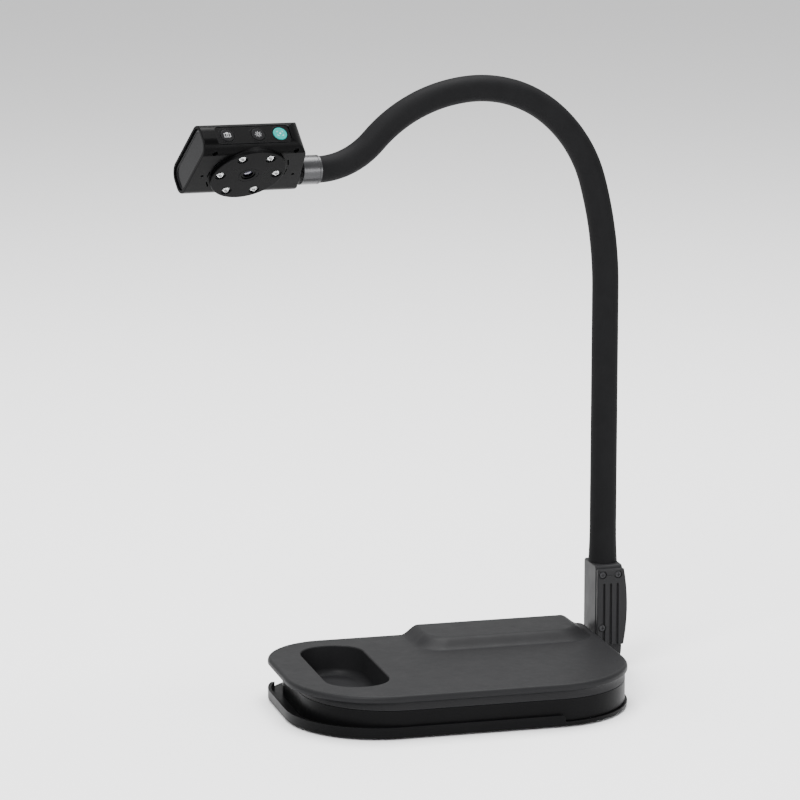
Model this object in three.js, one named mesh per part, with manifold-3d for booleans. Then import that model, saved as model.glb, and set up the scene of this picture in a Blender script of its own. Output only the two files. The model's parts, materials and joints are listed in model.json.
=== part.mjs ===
// Document scanner with a camera head on a gooseneck arm and a weighted desk base.
// Millimetres, +Z up. X runs along the base towards the arm, Y runs away from the user.
// The origin is on the table, under the middle of the whole scanner.
import * as THREE from 'three';
import { mergeVertices } from 'three/addons/utils/BufferGeometryUtils.js';
import Module from 'manifold-3d';

const wasm = await Module();
wasm.setup();

// ---- Driving sizes ----

const gap = 0.3;               // clearance between pieces that touch
const past = 1;                // how far a cutter runs out of what it cuts
const wall = 2;                // moulded wall of the base and the arm holder

// Base
const baseLength = 230;
const baseDepth = 150;
const frontLeftRadius = 62;
const frontRightRadius = 60;
const backRightRadius = 5;
const backLeftRadius = 44;
const footDrop = 1.2;          // the feet reach this far below the tray
const trayThickness = 2.8;
const lipHeight = 4.4;         // rim of the tray, above its floor
const lipEndX = 57;            // the rim stops here along the front
const partingHeight = 18.6;    // line between the middle shell and the deck
const flangeHeight = 25;
const deckHeight = 29.3;
const deckThickness = 2.4;
const humpRise = 6.4;
const humpSlope = 9;           // plan width of the sloped sides of the hump
const leftInset = 10;          // how far the walls stand in from the flange
const frontInset = 3;
const sideInset = 1.2;
const humpLength = 107;        // top of the hump, along X
const humpDepth = 40;          // top of the hump, along Y
const humpEdge = 11;           // top of the hump to the right-hand side
const gripWidth = 42.5;        // hand grip well in the deck
const gripRadius = 20;
const gripEdge = 23.5;         // bar of deck left of the well
const gripFrontEdge = 28.5;    // deck in front of the well
const gripBackEdge = 16.5;     // deck behind the well
const gripFloor = 8.6;
const ballastThickness = 4;
const boardLength = 60;        // main board
const boardDepth = 39;
const boardThickness = 1.2;
const boardBottom = 8.3;
const boardEdge = 23;          // board to the right-hand side
const boardBackEdge = 8;       // board to the back
const standoffRadius = 2.5;
const socketWidth = 12;        // USB socket
const socketHeight = 6.5;
const socketLength = 14.8;
const socketWall = 1.6;
const socketMouthWidth = 8;
const socketMouthDepth = 10.8;
const footRadius = 6;
const footPocket = 0.8;        // how far a foot is let into the tray
const postRadius = 3.2;
const screwRadius = 1.3;
const screwBore = 1.6;         // depth of a screw head's seat in the tray
const screwReach = 11;         // base screw above the tray

// Arm holder and its fold pivot
const holderWidth = 19;        // along X
const holderDepth = 27;        // along Y
const holderTop = 74;
const holderGap = 1.5;         // between the base side and the holder
const pivotHeight = 17;
const pivotEdge = 10.5;        // pivot to the back of the base
const pivotRadius = 4;
const bushWall = 1.5;
const hubWall = 3;             // round the shaft, inside the holder
const bracketWidth = 14;       // bearing block in the base
const bracketFront = 12;       // bearing block in front of the pivot
const bracketRise = 9;         // bearing block above the pivot
const washerThickness = 1;
const nutRim = 2.6;            // washer and nut outside the shaft
const nutThickness = 4;
const shaftTail = 6;           // shaft beyond the bearing block
const ribCount = 4;
const grooveWidth = 1.8;
const grooveTopEdge = 9;       // grooves end this far below the cover's top
const coverBulge = 5;          // outer edge of the cover, at its control point
const coverScrewEdge = 4;      // cover screws from the sides and the top
const bossRadius = 2.6;
const bossDepth = 7;
const clampHeight = 16;
const clampFront = 6;          // clamp in front of the neck's axis
const neckShift = 0.5;         // neck towards the base from the holder's middle
const coverThickness = 3;

// Gooseneck
const sleeveRadius = 9.1;
const sleeveTaper = 0.05;      // loss of radius at each link
const ballRadius = 5.5;
const coreRadius = 4;
const rootLength = 26;         // neck that stands fixed in the holder
const bendLimit = 47;          // degrees that two links can lean towards each other
// Each link: its length, how far it curves towards the user's left, and towards the user.
const links = [
  { length: 54, turn: 0, yaw: 0 },
  { length: 54, turn: 0, yaw: 0 },
  { length: 54, turn: 0, yaw: 0 },
  { length: 75, turn: 15.5, yaw: 0 },
  { length: 54, turn: 34, yaw: 0 },
  { length: 61, turn: 45, yaw: 0 },
  { length: 75, turn: 42, yaw: 5.5 },
  { length: 45, turn: -47.5, yaw: 8 },
];
const ferruleLength = 13.6;
const ferruleRadius = 9.6;
const stubRadius = 4.6;        // the head turns on this
const stubLength = 9;
const rootStart = 0.6;         // sleeve above the holder's top

// Camera head: X from the end cap to the neck, Y to the buttons, Z out of the lens face
const headWidth = 55;
const headThickness = 22.5;
const headRadius = 8.5;
const headLong = 81.6;         // length on the side away from the buttons
const headShort = 71;          // length on the button side
const headWall = 2;
const headSeam = -6;           // the back cover parts here
const headRoll = 42.5;         // degrees that the lens looks forward of straight down
const neckOffsetY = -14.4;     // neck axis in the head's section
const neckOffsetZ = 1.5;
const lampX = 38;
const lampRadius = 25.2;
const lampRise = 2.3;
const ledCircle = 19.6;
const ledRadius = 2.5;
const ledCount = 6;
const boardSheet = 1;          // small circuit boards of the head
const switchBoardHeight = 8;
const barrelRadius = 4.4;
const glassRadius = 2.9;
const boreOfBarrel = 2.6;
const buttonRadius = 4.7;
const buttonFlange = 0.8;
const buttonRise = 0.5;
const buttonXs = { snapshot: 17.6, lamp: 39.2, focus: 54.6 };
const stripStart = 10;
const stripEnd = 61.6;
const stripHeight = 12.8;
const stripThickness = 1.5;
const stripSink = 0.9;         // strip below the side of the head
const stripCentreZ = 0.7;
const nutLength = 2.5;         // nut that holds the stub
const travel = 0.5;
const headScrewRadius = 1.6;
const headScrewDepth = 2;      // screw head below the lens face

// ---- Materials ----

const finish = (color, roughness, metalness = 0) => () =>
  new THREE.MeshStandardMaterial({ color, roughness, metalness });
const deckBlack = finish(0x2b2b2d, 0.55);
const shellBlack = finish(0x1c1c1e, 0.45);
const rubber = finish(0x141415, 0.9);
const gloss = finish(0x2a2a2e, 0.15);
const steel = finish(0x8d9096, 0.35, 1);
const zinc = finish(0xb9bcc0, 0.3, 1);
const board = finish(0x1e5a38, 0.6);
const collarGrey = finish(0x4a4a4d, 0.3, 0.4);
const clearLed = finish(0xf2f2e8, 0.1);
const lensGlass = finish(0x30343c, 0.05);
const teal = finish(0x46b8ae, 0.4);

// ---- Solids ----

const turnDegrees = THREE.MathUtils.degToRad;

function solid(geometry) {
  const plain = geometry.index ? geometry.toNonIndexed() : geometry.clone();
  plain.deleteAttribute('normal');
  plain.deleteAttribute('uv');
  const merged = mergeVertices(plain, 1e-5);
  return new wasm.Manifold(new wasm.Mesh({
    numProp: 3,
    vertProperties: new Float32Array(merged.attributes.position.array),
    triVerts: new Uint32Array(merged.index.array),
  }));
}

function geometryOf(body) {
  const mesh = body.getMesh();
  const geometry = new THREE.BufferGeometry();
  geometry.setAttribute('position', new THREE.BufferAttribute(new Float32Array(mesh.vertProperties), 3));
  geometry.setIndex(new THREE.BufferAttribute(new Uint32Array(mesh.triVerts), 1));
  geometry.computeVertexNormals();
  return geometry;
}

function place(parent, name, body, finishOf) {
  const mesh = new THREE.Mesh(geometryOf(body), finishOf());
  mesh.name = name;
  parent.add(mesh);
  return mesh;
}

// Straight-sided outline whose corners, given as [x, y, radius], are rounded.
function roundedShape(corners) {
  const shape = new THREE.Shape();
  corners.forEach(([x, y, radius], i) => {
    const corner = new THREE.Vector2(x, y);
    const before = new THREE.Vector2(...corners.at(i - 1).slice(0, 2)).sub(corner).normalize();
    const after = new THREE.Vector2(...corners[(i + 1) % corners.length].slice(0, 2)).sub(corner).normalize();
    const half = Math.acos(THREE.MathUtils.clamp(before.dot(after), -1, 1)) / 2;
    const middle = before.clone().add(after).normalize();
    const centre = corner.clone().addScaledVector(middle, radius / Math.sin(half));
    const start = corner.clone().addScaledVector(before, radius / Math.tan(half)).sub(centre);
    const end = corner.clone().addScaledVector(after, radius / Math.tan(half)).sub(centre);
    shape.absarc(centre.x, centre.y, radius, start.angle(), end.angle(), false);
  });
  shape.closePath();
  return shape;
}

function prism(shape, bottom, top, curveSegments = 4) {
  const geometry = new THREE.ExtrudeGeometry(shape,
    { depth: top - bottom, bevelEnabled: false, curveSegments });
  return solid(geometry.translate(0, 0, bottom));
}

const drumZ = (radius, bottom, top, sides = 16) => solid(
  new THREE.CylinderGeometry(radius, radius, top - bottom, sides).rotateX(Math.PI / 2)
    .translate(0, 0, (top + bottom) / 2));
const drumX = (radius, start, end, sides = 16) => solid(
  new THREE.CylinderGeometry(radius, radius, end - start, sides).rotateZ(Math.PI / 2)
    .translate((start + end) / 2, 0, 0));
const drumY = (radius, start, end, sides = 16) => solid(
  new THREE.CylinderGeometry(radius, radius, end - start, sides).translate(0, (start + end) / 2, 0));
const block = (x0, x1, y0, y1, z0, z1) => solid(
  new THREE.BoxGeometry(x1 - x0, y1 - y0, z1 - z0).translate((x0 + x1) / 2, (y0 + y1) / 2, (z0 + z1) / 2));
const ball = (radius, sides = 12) => solid(
  new THREE.SphereGeometry(radius, sides, Math.round(sides * 0.6)).rotateX(Math.PI / 2));
const ringZ = (inner, outer, bottom, top, sides = 24) =>
  drumZ(outer, bottom, top, sides).subtract(drumZ(inner, bottom - 1, top + 1, sides));

const scanner = new THREE.Group();

// ---- Base ----

const left = -baseLength / 2;
const right = baseLength / 2;
const front = -baseDepth / 2;
const back = baseDepth / 2;
const pivotY = back - pivotEdge;
const trayTop = footDrop + trayThickness;

// Plan of the base, moved in from each side.
function baseShape(inLeft, inFront, inRight, inBack) {
  return roundedShape([
    [left + inLeft, front + inFront, frontLeftRadius - (inLeft + inFront) / 2],
    [right - inRight, front + inFront, frontRightRadius - (inRight + inFront) / 2],
    [right - inRight, back - inBack, Math.max(backRightRadius - (inRight + inBack) / 2, 1)],
    [left + inLeft, back - inBack, backLeftRadius - (inLeft + inBack) / 2],
  ]);
}
const fullShape = baseShape(0, 0, 0, 0);
const wallShape = baseShape(leftInset, frontInset, sideInset, sideInset);
const cavityShape = baseShape(leftInset + wall, frontInset + wall, sideInset + wall, sideInset + wall);

const gripLeft = left + gripEdge;
const gripFront = front + gripFrontEdge;
const gripBack = back - gripBackEdge;
const gripShape = (grow) => roundedShape([
  [gripLeft - grow, gripFront - grow, gripRadius + grow],
  [gripLeft + gripWidth + grow, gripFront - grow, gripRadius + grow],
  [gripLeft + gripWidth + grow, gripBack + grow, gripRadius + grow],
  [gripLeft - grow, gripBack + grow, gripRadius + grow],
]);
const gripRight = gripLeft + gripWidth + wall;

// Places of the posts and feet, in from the sides of the base and from the grip well.
const postSpots = [
  [gripRight + 8, front + 13],
  [gripRight + 8, back - 11],
  [gripRight + 72, back - 11],
  [right - 35, front + 25],
];
const footSpots = [
  [left + 38, front + 30],
  [right - 58, front + 16],
  [right - 22, back - 20],
  [left + 34, back - 32],
];
const boardLeft = right - boardLength - boardEdge;
const boardFront = back - boardDepth - boardBackEdge;
const boardSpots = [
  [boardLeft + 6, boardFront + 5],
  [boardLeft + 6, boardFront + boardDepth - 6],
  [boardLeft + boardLength - 6, boardFront + 5],
  [boardLeft + boardLength - 6, boardFront + boardDepth - 6],
];
const boardTop = boardBottom + boardThickness;
const socketX = boardLeft + boardLength / 2;

// The fold pivot passes through the right-hand side of the base.
const pivotDrum = (radius, start, end) => drumX(radius, start, end).translate([0, pivotY, pivotHeight]);
const boreRadius = pivotRadius + gap + bushWall + gap;

function makeTray() {
  const lipShape = baseShape(wall, wall, wall, wall);
  let lip = prism(fullShape, trayTop - gap, trayTop + lipHeight)
    .subtract(prism(lipShape, trayTop - past, trayTop + lipHeight + past));
  // the rim runs round the front and the left only
  lip = lip.subtract(block(lipEndX, right + past, front - past, back + past, 0, deckHeight));
  lip = lip.subtract(block(left - past, right + past, back - backLeftRadius / 2, back + past, 0, deckHeight));
  lip = lip.subtract(block(left + backLeftRadius, right + past, 0, back + past, 0, deckHeight));
  let tray = prism(fullShape, footDrop, trayTop).add(lip);
  for (const [x, y] of postSpots) {
    tray = tray.subtract(drumZ(screwRadius + gap, 0, trayTop + past, 12).translate([x, y, 0]));
    tray = tray.subtract(drumZ(screwRadius * 2 + gap, 0, footDrop + screwBore, 12).translate([x, y, 0]));
  }
  for (const [x, y] of boardSpots) {
    tray = tray.add(drumZ(standoffRadius, trayTop - gap, boardBottom - gap, 10).translate([x, y, 0]));
  }
  for (const [x, y] of footSpots) {
    tray = tray.subtract(drumZ(footRadius + gap, 0, footDrop + footPocket).translate([x, y, 0]));
  }
  return tray;
}

const socketBottom = boardTop + gap;
const socketCut = block(socketX - socketWidth / 2 - gap, socketX + socketWidth / 2 + gap,
  back - socketLength, back + past, socketBottom - gap, socketBottom + socketHeight + gap);

function makeMiddleShell() {
  return prism(wallShape, trayTop + gap, partingHeight - gap)
    .subtract(prism(cavityShape, trayTop, partingHeight))
    .subtract(pivotDrum(boreRadius, right - bracketWidth, right + past))
    .subtract(socketCut);
}

function makeHump(grow, lift) {
  const humpRight = right - humpEdge;
  const shape = roundedShape([
    [humpRight - humpLength - grow, back - humpDepth - grow, humpSlope],
    [humpRight + grow, back - humpDepth - grow, humpSlope],
    [humpRight + grow, back + humpSlope * 2, humpSlope],
    [humpRight - humpLength - grow, back + humpSlope * 2, humpSlope],
  ]);
  const geometry = new THREE.ExtrudeGeometry(shape, {
    depth: deckThickness, bevelEnabled: true, bevelSegments: 1, bevelThickness: humpRise + lift,
    bevelSize: humpSlope,
    curveSegments: 2,
  });
  return solid(geometry.translate(0, 0, deckHeight - deckThickness))
    .subtract(block(left, right + humpSlope, front, back + humpSlope * 4, 0, deckHeight - deckThickness));
}

function makeDeck() {
  const hollowLimit = baseShape(leftInset + wall, wall, wall + sideInset, wall + sideInset);
  const aboveHump = deckHeight + humpRise * 2;
  const outside = prism(fullShape, flangeHeight, deckHeight)
    .add(prism(wallShape, partingHeight, flangeHeight + past))
    .add(makeHump(0, 0).intersect(prism(fullShape, 0, aboveHump)));
  let deck = outside
    .subtract(prism(cavityShape, partingHeight - past, deckHeight - deckThickness))
    .subtract(makeHump(-wall, -wall).intersect(prism(hollowLimit, 0, aboveHump)))
    .add(prism(gripShape(wall), gripFloor - wall, deckHeight - gap));
  for (const [x, y] of postSpots) {
    const post = drumZ(postRadius, trayTop + gap, deckHeight + humpRise, 12).translate([x, y, 0]);
    const below = block(left, right, front, back, 0, flangeHeight);
    deck = deck.add(post.intersect(outside.add(below)));
    deck = deck.subtract(drumZ(screwRadius + gap / 2, trayTop, flangeHeight - wall, 12).translate([x, y, 0]));
  }
  return deck
    .subtract(prism(gripShape(0), gripFloor, deckHeight + past))
    .subtract(pivotDrum(boreRadius, right - bracketWidth, right + past));
}

function baseScrew() {
  const headBottom = footDrop + gap;
  const headTop = footDrop + screwBore - gap;
  return drumZ(screwRadius * 2, headBottom, headTop, 12)
    .add(drumZ(screwRadius, headBottom, trayTop + screwReach, 12));
}

place(scanner, 'base_tray', makeTray(), shellBlack);
place(scanner, 'base_middle_shell', makeMiddleShell(), shellBlack);
place(scanner, 'base_deck', makeDeck(), deckBlack);
const ballastFront = front + 17;
const ballastLeft = gripRight + 13;
const ballastRight = right - 42;
place(scanner, 'ballast_plate', block(ballastLeft, ballastRight, ballastFront, boardFront - 6,
  trayTop + gap, trayTop + gap + ballastThickness), steel);
place(scanner, 'main_board', block(boardLeft, boardLeft + boardLength, boardFront, boardFront + boardDepth,
  boardBottom, boardTop), board);
place(scanner, 'usb_socket',
  block(socketX - socketWidth / 2, socketX + socketWidth / 2,
    back - sideInset - socketLength, back - sideInset, socketBottom, socketBottom + socketHeight)
    .subtract(block(socketX - socketMouthWidth / 2, socketX + socketMouthWidth / 2,
      back - sideInset - socketMouthDepth, back + past,
      socketBottom + socketWall, socketBottom + socketHeight - socketWall)), zinc);
footSpots.forEach(([x, y], i) =>
  place(scanner, `foot_${i + 1}`,
    drumZ(footRadius, 0, footDrop + footPocket - gap).translate([x, y, 0]), rubber));
postSpots.forEach(([x, y], i) =>
  place(scanner, `base_screw_${i + 1}`, baseScrew().translate([x, y, 0]), zinc));

// Bearing block of the fold pivot, inside the base, with its bush.
const bracketEnd = right - sideInset - wall - gap;
const bracketStart = bracketEnd - bracketWidth;
place(scanner, 'pivot_bracket',
  block(bracketStart, bracketEnd, pivotY - bracketFront, back - sideInset - wall - gap * 4,
    trayTop + gap, pivotHeight + bracketRise)
    .subtract(pivotDrum(boreRadius, bracketStart - past, bracketEnd + past)), steel);
place(scanner, 'pivot_bush',
  pivotDrum(pivotRadius + gap + bushWall, bracketStart, right - gap)
    .subtract(pivotDrum(pivotRadius + gap, bracketStart - past, right + past)), gloss);

// ---- Arm holder ----

const holder = new THREE.Group();
scanner.add(holder);
const holderStart = right + holderGap;
const holderEnd = holderStart + holderWidth;
const neckX = holderStart + holderWidth / 2 - neckShift;
const holderFront = pivotY - holderDepth / 2;
const holderBack = pivotY + holderDepth / 2;
const holderRound = holderDepth / 2 - 0.01;

// Side view of the holder, round about its pivot at the bottom, extruded along X.
const alongX = new THREE.Matrix4().makeBasis(
  new THREE.Vector3(0, 1, 0), new THREE.Vector3(0, 0, 1), new THREE.Vector3(1, 0, 0));

function holderPrism(inset, start, end) {
  const topRadius = 2;
  const shape = roundedShape([
    [holderFront + inset, pivotHeight - holderDepth / 2 + inset, holderRound - inset],
    [holderBack - inset, pivotHeight - holderDepth / 2 + inset, holderRound - inset],
    [holderBack - inset, holderTop - inset, topRadius],
    [holderFront + inset, holderTop - inset, topRadius],
  ]);
  const geometry = new THREE.ExtrudeGeometry(shape,
    { depth: end - start, bevelEnabled: false, curveSegments: 5 });
  return solid(geometry.applyMatrix4(alongX).translate(start, 0, 0));
}

const coverBottom = pivotHeight + 2;
const coverTop = holderTop - 2;
const clampTop = holderTop - wall - gap;
const clampBottom = clampTop - clampHeight;
const hubRadius = pivotRadius + hubWall;
const coverScrews = [
  [holderStart + coverScrewEdge, coverTop - coverScrewEdge],
  [holderEnd - coverScrewEdge, coverTop - coverScrewEdge],
  [holderStart + coverScrewEdge, coverBottom + coverScrewEdge * 3],
];
const boreDepth = bossDepth - 1;

function makeHolder() {
  let housing = holderPrism(0, holderStart, holderEnd)
    .subtract(holderPrism(wall, holderStart + wall, holderEnd - wall))
    .add(pivotDrum(hubRadius, holderStart + wall / 2, holderEnd - wall / 2))
    .subtract(pivotDrum(pivotRadius + gap, holderStart - past, holderEnd - wall));
  // neck hole and the opening behind the ribbed cover
  housing = housing.subtract(
    drumZ(coreRadius + gap, clampTop, holderTop + past, 16).translate([neckX, pivotY, 0]));
  housing = housing.subtract(block(holderStart + wall * 2, holderEnd - wall * 2,
    holderFront - past, holderFront + wall + past,
    coverBottom + coverScrewEdge * 4, coverTop - coverScrewEdge * 2));
  for (const [x, z] of coverScrews) {
    housing = housing.add(
      drumY(bossRadius, holderFront + gap, holderFront + bossDepth, 12).translate([x, 0, z]));
    housing = housing.subtract(
      drumY(screwRadius, holderFront - past, holderFront + boreDepth, 12).translate([x, 0, z]));
  }
  return housing;
}

const coverFace = holderFront - gap - coverThickness;
const coverScrewSeat = coverFace + coverThickness / 2;
const coverScrewHead = screwRadius * 1.8;

function makeRibbedCover() {
  // bulged outer edge, seen from the front
  const outline = new THREE.Shape();
  outline.moveTo(holderStart + gap, coverBottom);
  outline.lineTo(holderEnd + coverBulge / 5, coverBottom);
  outline.quadraticCurveTo(holderEnd + coverBulge, (coverBottom + coverTop) / 2,
    holderEnd - gap * 2, coverTop);
  outline.lineTo(holderStart + gap, coverTop);
  outline.closePath();
  const geometry = new THREE.ExtrudeGeometry(outline,
    { depth: coverThickness, bevelEnabled: false, curveSegments: 8 });
  let cover = solid(geometry.rotateX(Math.PI / 2).translate(0, holderFront - gap, 0));
  const pitch = holderWidth / ribCount;
  for (let i = 1; i < ribCount; i += 1) {
    const x = holderStart + pitch * i;
    cover = cover.subtract(block(x - grooveWidth / 2, x + grooveWidth / 2,
      coverFace - past, coverFace + coverThickness / 2, coverBottom - past, coverTop - grooveTopEdge));
  }
  for (const [x, z] of coverScrews) {
    cover = cover.subtract(
      drumY(screwRadius + gap, coverFace - past, holderFront, 12).translate([x, 0, z]));
    cover = cover.subtract(
      drumY(coverScrewHead + gap, coverFace - past, coverScrewSeat, 12).translate([x, 0, z]));
  }
  return cover;
}

function coverScrew() {
  return drumY(coverScrewHead, coverFace + gap, coverScrewSeat - gap, 12)
    .add(drumY(screwRadius - gap / 2, coverFace + gap * 2, holderFront + boreDepth - past, 12));
}

place(holder, 'holder_housing', makeHolder(), shellBlack);
place(holder, 'holder_cover', makeRibbedCover(), shellBlack);
coverScrews.forEach(([x, z], i) =>
  place(holder, `cover_screw_${i + 1}`, coverScrew().translate([x, 0, z]), zinc));
const shaftEnd = bracketStart - shaftTail;
place(holder, 'pivot_shaft', pivotDrum(pivotRadius, shaftEnd, holderEnd - wall - gap), steel);
place(holder, 'pivot_washer',
  pivotDrum(pivotRadius + nutRim, bracketStart - gap - washerThickness, bracketStart - gap)
    .subtract(pivotDrum(pivotRadius + gap, shaftEnd, bracketStart)), zinc);
const nutEnd = bracketStart - washerThickness - gap * 2;
place(holder, 'pivot_nut',
  drumX(pivotRadius + nutRim, nutEnd - nutThickness, nutEnd, 6).translate([0, pivotY, pivotHeight])
    .subtract(pivotDrum(pivotRadius + gap, shaftEnd, bracketStart)), steel);
place(holder, 'neck_clamp',
  block(holderStart + wall + gap, holderEnd - wall - gap, pivotY - clampFront, holderBack - wall - gap * 4,
    clampBottom, clampTop)
    .subtract(drumZ(coreRadius + gap, clampBottom - past, clampTop + past, 16)
      .translate([neckX, pivotY, 0])), steel);

// ---- Gooseneck ----

// Middle line of a link: a circular arc that starts along +Z, or a straight line.
class LinkArc extends THREE.Curve {
  constructor({ length, turn, yaw }) {
    super();
    this.length = length;
    this.spin = new THREE.Vector3(turnDegrees(yaw), -turnDegrees(turn), 0);
    this.angle = this.spin.length();
    this.axis = this.angle > 0 ? this.spin.clone().normalize() : new THREE.Vector3(0, 1, 0);
  }

  getPoint(t, target = new THREE.Vector3()) {
    const along = new THREE.Vector3(0, 0, 1);
    if (this.angle === 0) return target.copy(along).multiplyScalar(this.length * t);
    const across = this.axis.clone().cross(along);
    const radius = this.length / this.angle;
    const angle = this.angle * t;
    return target.copy(along).multiplyScalar(radius * Math.sin(angle))
      .addScaledVector(across, radius * (1 - Math.cos(angle)));
  }

  endTurn() {
    return new THREE.Quaternion().setFromAxisAngle(this.axis, this.angle);
  }
}

function circleShape(radius) {
  const shape = new THREE.Shape();
  shape.absarc(0, 0, radius, 0, Math.PI * 2, false);
  return shape;
}

// Everything below the cone that leans up from the origin by half the bend limit.
function coneCutter() {
  const reach = sleeveRadius * 2;
  const slope = Math.tan(turnDegrees(bendLimit / 2));
  const profile = [[0, -reach], [reach, -reach], [reach, reach * slope], [0, 0]];
  const geometry = new THREE.LatheGeometry(profile.map(([x, y]) => new THREE.Vector2(x, y)), 16);
  return solid(geometry.rotateX(Math.PI / 2));
}
const lowerCut = coneCutter();

function linkBody(arc, radius, { socket, tip }) {
  const steps = arc.angle === 0 ? 1 : 4;
  let body = solid(new THREE.ExtrudeGeometry(circleShape(radius),
    { steps, extrudePath: arc, bevelEnabled: false, curveSegments: 8 }));
  if (socket) body = body.subtract(lowerCut).subtract(ball(ballRadius + gap));
  if (tip) {
    const end = new THREE.Matrix4().compose(arc.getPoint(1), arc.endTurn(), new THREE.Vector3(1, 1, 1));
    body = body.subtract(lowerCut.rotate([180, 0, 0]).transform(end.elements))
      .add(ball(ballRadius).transform(end.elements));
  }
  return body;
}

let station = new THREE.Group();
station.position.set(neckX, pivotY, holderTop);
holder.add(station);
const rootArc = new LinkArc({ length: rootLength, turn: 0, yaw: 0 });
place(station, 'neck_root',
  linkBody(rootArc, sleeveRadius, { tip: true })
    .subtract(block(-sleeveRadius * 2, sleeveRadius * 2, -sleeveRadius * 2, sleeveRadius * 2,
      -past, rootStart))
    .add(drumZ(coreRadius, clampBottom - holderTop + past, rootStart + past, 16)), rubber);

function nextStation(parent, arc) {
  const next = new THREE.Group();
  arc.getPoint(1, next.position);
  next.quaternion.copy(arc.endTurn());
  parent.add(next);
  return next;
}

station = nextStation(station, rootArc);
links.forEach((link, i) => {
  const arc = new LinkArc(link);
  const last = i === links.length - 1;
  place(station, `neck_link_${i + 1}`,
    linkBody(arc, sleeveRadius - sleeveTaper * (i + 1), { socket: true, tip: !last }), rubber);
  station = nextStation(station, arc);
});

// Collar at the end of the neck, with the stub that the head turns on.
place(station, 'neck_collar',
  drumZ(ferruleRadius, gap, ferruleLength, 24)
    .add(drumZ(stubRadius, ferruleLength - past, ferruleLength + stubLength, 16)), collarGrey);

// ---- Camera head ----

// The head hangs from the neck's end: its X axis runs back along the neck.
const head = new THREE.Group();
const backAlongNeck = new THREE.Vector3(0, 0, -1);
station.add(head);
scanner.updateMatrixWorld(true);
const neckTurn = station.getWorldQuaternion(new THREE.Quaternion());
const headX = backAlongNeck.clone().applyQuaternion(neckTurn);
const straightDown = new THREE.Vector3(0, 0, -1);
const lensDown = straightDown.clone().addScaledVector(headX, -straightDown.dot(headX)).normalize();
const headZ = lensDown.clone().applyAxisAngle(headX, -turnDegrees(headRoll));
const headY = headZ.clone().cross(headX);
const headTurn = new THREE.Quaternion().setFromRotationMatrix(
  new THREE.Matrix4().makeBasis(headX, headY, headZ));
head.quaternion.copy(neckTurn.clone().invert().multiply(headTurn));
const collarSeat = headLong + gap * 2;
head.position.set(0, 0, ferruleLength)
  .sub(new THREE.Vector3(collarSeat, neckOffsetY, neckOffsetZ).applyQuaternion(head.quaternion));

const halfWidth = headWidth / 2;
const halfThickness = headThickness / 2;

function headSection(inset, start, end) {
  const y = halfWidth - inset;
  const z = halfThickness - inset;
  const radius = headRadius - inset;
  const shape = roundedShape([[-y, -z, radius], [y, -z, radius], [y, z, radius], [-y, z, radius]]);
  const geometry = new THREE.ExtrudeGeometry(shape,
    { depth: end - start, bevelEnabled: false, curveSegments: 3 });
  return solid(geometry.applyMatrix4(alongX).translate(start, 0, 0));
}

// Plan of the head: its neck end is slanted, with a round corner at each side.
const longCorner = 9;
const shortCorner = 11;
const sharp = 0.01;

function headPlan(inset, start) {
  return prism(roundedShape([
    [start, -halfWidth - past + inset, sharp],
    [headLong - inset, -halfWidth + inset, longCorner - inset],
    [headShort - inset, halfWidth - inset, shortCorner - inset],
    [start, halfWidth + past - inset, sharp],
  ]), -halfThickness - past, halfThickness + past);
}

const capSink = 1.2;           // end cap below the rim of the shell
const capSeat = 3;             // inner face of the end cap
const swivel = (radius, start, end) => drumX(radius, start, end).translate([0, neckOffsetY, neckOffsetZ]);
const lensFace = halfThickness;
const boardFace = lensFace - headWall - gap;
const stripFace = halfWidth - stripSink;
const flangeTop = stripFace - stripThickness - gap;
const buttonFlangeRadius = buttonRadius + buttonFlange;
const switchTop = flangeTop - buttonFlange - travel - gap;
const headScrewEdge = 6;
const headScrews = [
  [headScrewEdge + 2, halfWidth - headScrewEdge],
  [headShort - headScrewEdge, halfWidth - headScrewEdge],
];
const headSlab = (bottom, top) =>
  block(-past, headLong + past, -halfWidth - past, halfWidth + past, bottom, top);
const aboveSeam = headSlab(headSeam + gap / 2, halfThickness + past);
const belowSeam = headSlab(-halfThickness - past, headSeam - gap / 2);
const lampLedge = 3;           // the lamp cover rests on this much of the shell

function headOuter() {
  return headSection(0, 0, headLong + past).intersect(headPlan(0, -past));
}

function headInner() {
  return headSection(headWall, -past, headLong + past).intersect(headPlan(headWall, -past * 2));
}

const stripPocket = (grow, inner, outer) => block(stripStart - grow, stripEnd + grow, inner, outer,
  stripCentreZ - stripHeight / 2 - grow, stripCentreZ + stripHeight / 2 + grow);

function makeFrontShell() {
  let shell = headOuter().subtract(headInner()).intersect(aboveSeam);
  shell = shell.subtract(drumZ(lampRadius - lampLedge, 0, lensFace + past, 36).translate([lampX, 0, 0]));
  shell = shell.subtract(stripPocket(gap, stripFace - stripThickness - past, halfWidth + past));
  shell = shell.subtract(swivel(stubRadius + gap, headShort - stubLength, headLong + past));
  for (const x of Object.values(buttonXs)) {
    shell = shell.subtract(drumY(buttonFlangeRadius + gap, switchTop, flangeTop + gap, 24)
      .translate([x, 0, stripCentreZ]));
  }
  for (const [x, y] of headScrews) {
    shell = shell.subtract(
      drumZ(headScrewRadius + gap, lensFace - headWall * 3, lensFace + past, 12).translate([x, y, 0]));
  }
  return shell;
}

function makeBackCover() {
  return headOuter().subtract(headInner()).intersect(belowSeam);
}

place(head, 'head_front_shell', makeFrontShell(), shellBlack);
place(head, 'head_back_cover', makeBackCover(), shellBlack);
place(head, 'head_end_cap', headSection(headWall + gap, capSink, capSeat), gloss);

const centreOnLamp = (body) => body.translate([lampX, 0, 0]);
const ledSpots = Array.from({ length: ledCount }, (_, i) => {
  const angle = Math.PI * 2 * i / ledCount;
  return [ledCircle * Math.cos(angle), ledCircle * Math.sin(angle)];
});
const lampTop = lensFace + lampRise;

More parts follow.
